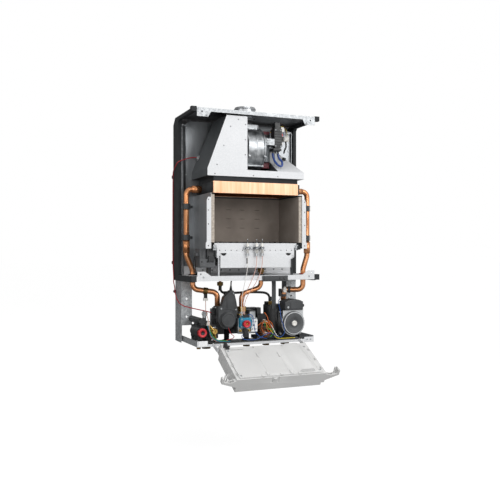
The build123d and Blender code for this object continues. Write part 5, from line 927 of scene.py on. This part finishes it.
# control panel, in its own frame: x, how far down from the hinge, and how far out of its back
ribRows = [(along, along + 8) for along in (44, 88, 128)]
wallDisc = [(0, 0), (6, 0), (6, 1.2), (5, 2), (3.4, 2), (3, 1), (0, 1)]
panelClips = {"bevelMm": 0.6, "turned": [(wallDisc, (side * 133.6, 126, -9), (side, 0, 0), 24)
                                         for side in (-1, 1)]}
panelClips["blocks"] = [((x, x + 9), (143, 150), (14.6, 17.4)) for x in (-62, -6, 48)] \
    + [((-110, -70), (24, 26), (18, 19.4))] \
    + [(x, row, (13, 19.6)) for row in ribRows for x in ((-126.6, -123.4), (123.4, 126.6))] \
    + [(x, (along, along + 3), (-20, 6)) for x in ((-135.4, -133), (133, 135.4)) for along in (34, 74, 114)]
built("panelClips", panelClips, ["abs"], "control_panel", onPanel)
panelHook = {"bevelMm": 0.8,
             "blocks": [((-122, -112), (-4, 22), (13.6, 19.6)), ((-121, -113), (-5, 4), (2, 15))],
             "turned": [([(0, 0), (3.6, 0), (4, 0.5), (4, 2.6), (3, 3.2), (0, 3.2)],
                         (-117, 15, 19.4), up, 18)]}
built("panelHook", panelHook, ["nylon"], "control_panel", onPanel)
coverScrews = {"width": 6.0, "spots": [(x, along, 15.3) for x in (-119, 119) for along in (30, 140)]}
panelOut = (onPanel(0, 0, 1) - onPanel(0, 0, 0)).normalized()
heads("coverScrews", "panScrew", coverScrews["spots"], panelOut, coverScrews["width"], body="control_panel",
      to=onPanel)

# the panel's face: dots round the knobs, the gauge's scale and needle, a window and three buttons
panelFace = {"level": -28.0, "knobs": (-60, 0), "dotRing": 22.5, "dotWidth": 2.0,
             "dotTurns": range(-60, 241, 30), "gauge": (75, 82), "dialLevel": -29.5, "dialRing": 14,
             "dialWidth": 1.4, "dialTurns": range(-45, 226, 27)}
dots = [(*spot, panelFace["level"]) for x in panelFace["knobs"]
        for spot in circleSpots((x, panelFace["gauge"][1]), panelFace["dotRing"], panelFace["dotTurns"])]
heads("knobDots", "rivet", dots, -panelOut, panelFace["dotWidth"], "housing",
      "control_panel", onPanel)
dialDots = [(*spot, panelFace["dialLevel"])
            for spot in circleSpots(panelFace["gauge"], panelFace["dialRing"], panelFace["dialTurns"])]
heads("dialDots", "rivet", dialDots, -panelOut, panelFace["dialWidth"], "housing",
      "control_panel", onPanel)
dialNeedle = {"bevelMm": 0.2,
              "blocks": [((74.4, 75.6), (79, 93.5), (-30.1, -29.8)), ((25, 49), (75, 90), (-28.7, -27.4))],
              "turned": [([(0, 0), (2.6, 0), (2.6, 0.5), (2, 0.9), (0, 0.9)], (75, 82, -29.5), down, 16)]}
built("dialNeedle", dialNeedle, ["housing"], "control_panel", onPanel)
buttonProfile = [(0, 0), (5.4, 0), (5.4, 0.4), (4.6, 0.4), (4.4, 1.6), (3.6, 2), (0, 2)]
panelButtons = {"bevelMm": 0.15, "blocks": [((-116, 108), (112, 113), (-28.6, -27.6))],
                "turned": [(buttonProfile, (-106, along, -27.8), down, 24) for along in (96, 82, 68)]}
built("panelButtons", panelButtons, ["abs"], "control_panel", onPanel)
print("control panel finished")

for head in headObjects.values():
    bpy.data.objects.remove(head)


# stage and light
stage = {"floorBelow": 0.96, "reach": 30.0, "glow": 0.8}
sheet = bmesh.new()
bmesh.ops.create_grid(sheet, x_segments=8, y_segments=8, size=stage["reach"])
bmesh.ops.translate(sheet, verts=sheet.verts, vec=(0, 0, -stage["floorBelow"]))
floorMesh = bpy.data.meshes.new("studioFloor")
sheet.to_mesh(floorMesh)
sheet.free()
# backdrop paper: flat and matt, and lit up by itself, so that it shows white
looks["paper"] = mottled("mattPaper", "#8A8A8A", "#8C8C8C", 300, 4, 0.01, (0.85, 0.95),
                         emission_color=(1, 1, 1, 1), emission_strength=stage["glow"])
floorMesh.materials.append(looks["paper"])
studioFloor = bpy.data.objects.new("studioFloor", floorMesh)
scene.collection.objects.link(studioFloor)
studioFloor.visible_diffuse = studioFloor.visible_glossy = False  # it lights nothing from below

lamps = {  # spot, aim, width, height, watts
    "keyLight": ((1.3, -2.7, 0.9), (0, -0.1, -0.35), 1.5, 1.5, 34),
    "frontLight": ((-0.9, -3.2, 0.0), (0, -0.1, -0.35), 1.6, 1.2, 11),
    "leftLight": ((-2.7, -1.1, 0.1), (0, -0.1, -0.35), 1.6, 1.6, 16),
    "topLight": ((0.3, -0.5, 2.0), (0, -0.1, -0.3), 1.4, 1.0, 12),
}
for name, (spot, aim, width, tall, watts) in lamps.items():
    lamp = bpy.data.lights.new(name, "AREA")
    lamp.shape, lamp.size, lamp.size_y, lamp.energy = "RECTANGLE", width, tall, watts
    lampObject = bpy.data.objects.new(name, lamp)
    lampObject.location = spot
    lampObject.rotation_euler = (Vector(aim) - Vector(spot)).to_track_quat("-Z", "Y").to_euler()
    scene.collection.objects.link(lampObject)
skyLight = {"from": (0.4, -0.54, 0.74), "low": -0.6, "high": 0.9, "dim": 0.16, "bright": 0.85, "seen": 1.0}
world = bpy.data.worlds.new("studio")
world.use_nodes = True
skyTree = world.node_tree
sky = skyTree.nodes["Background"]
sky.inputs["Color"].default_value = (1, 1, 1, 1)
direction = addNode(skyTree, "ShaderNodeTexCoord", {}, {}).outputs["Generated"]
towards = addNode(skyTree, "ShaderNodeVectorMath", {"operation": "DOT_PRODUCT"},
                  {0: direction, 1: Vector(skyLight["from"])}).outputs["Value"]
around = stretched(skyTree, towards, *(skyLight[key] for key in ("low", "high", "dim", "bright")))
seen = addNode(skyTree, "ShaderNodeLightPath", {}, {}).outputs["Is Camera Ray"]
strength = addNode(skyTree, "ShaderNodeMix", {}, {0: seen, 2: around, 3: skyLight["seen"]}).outputs[0]
skyTree.links.new(strength, sky.inputs["Strength"])
scene.world = world
scene.view_settings.view_transform = "Standard"
print("stage and lights set")
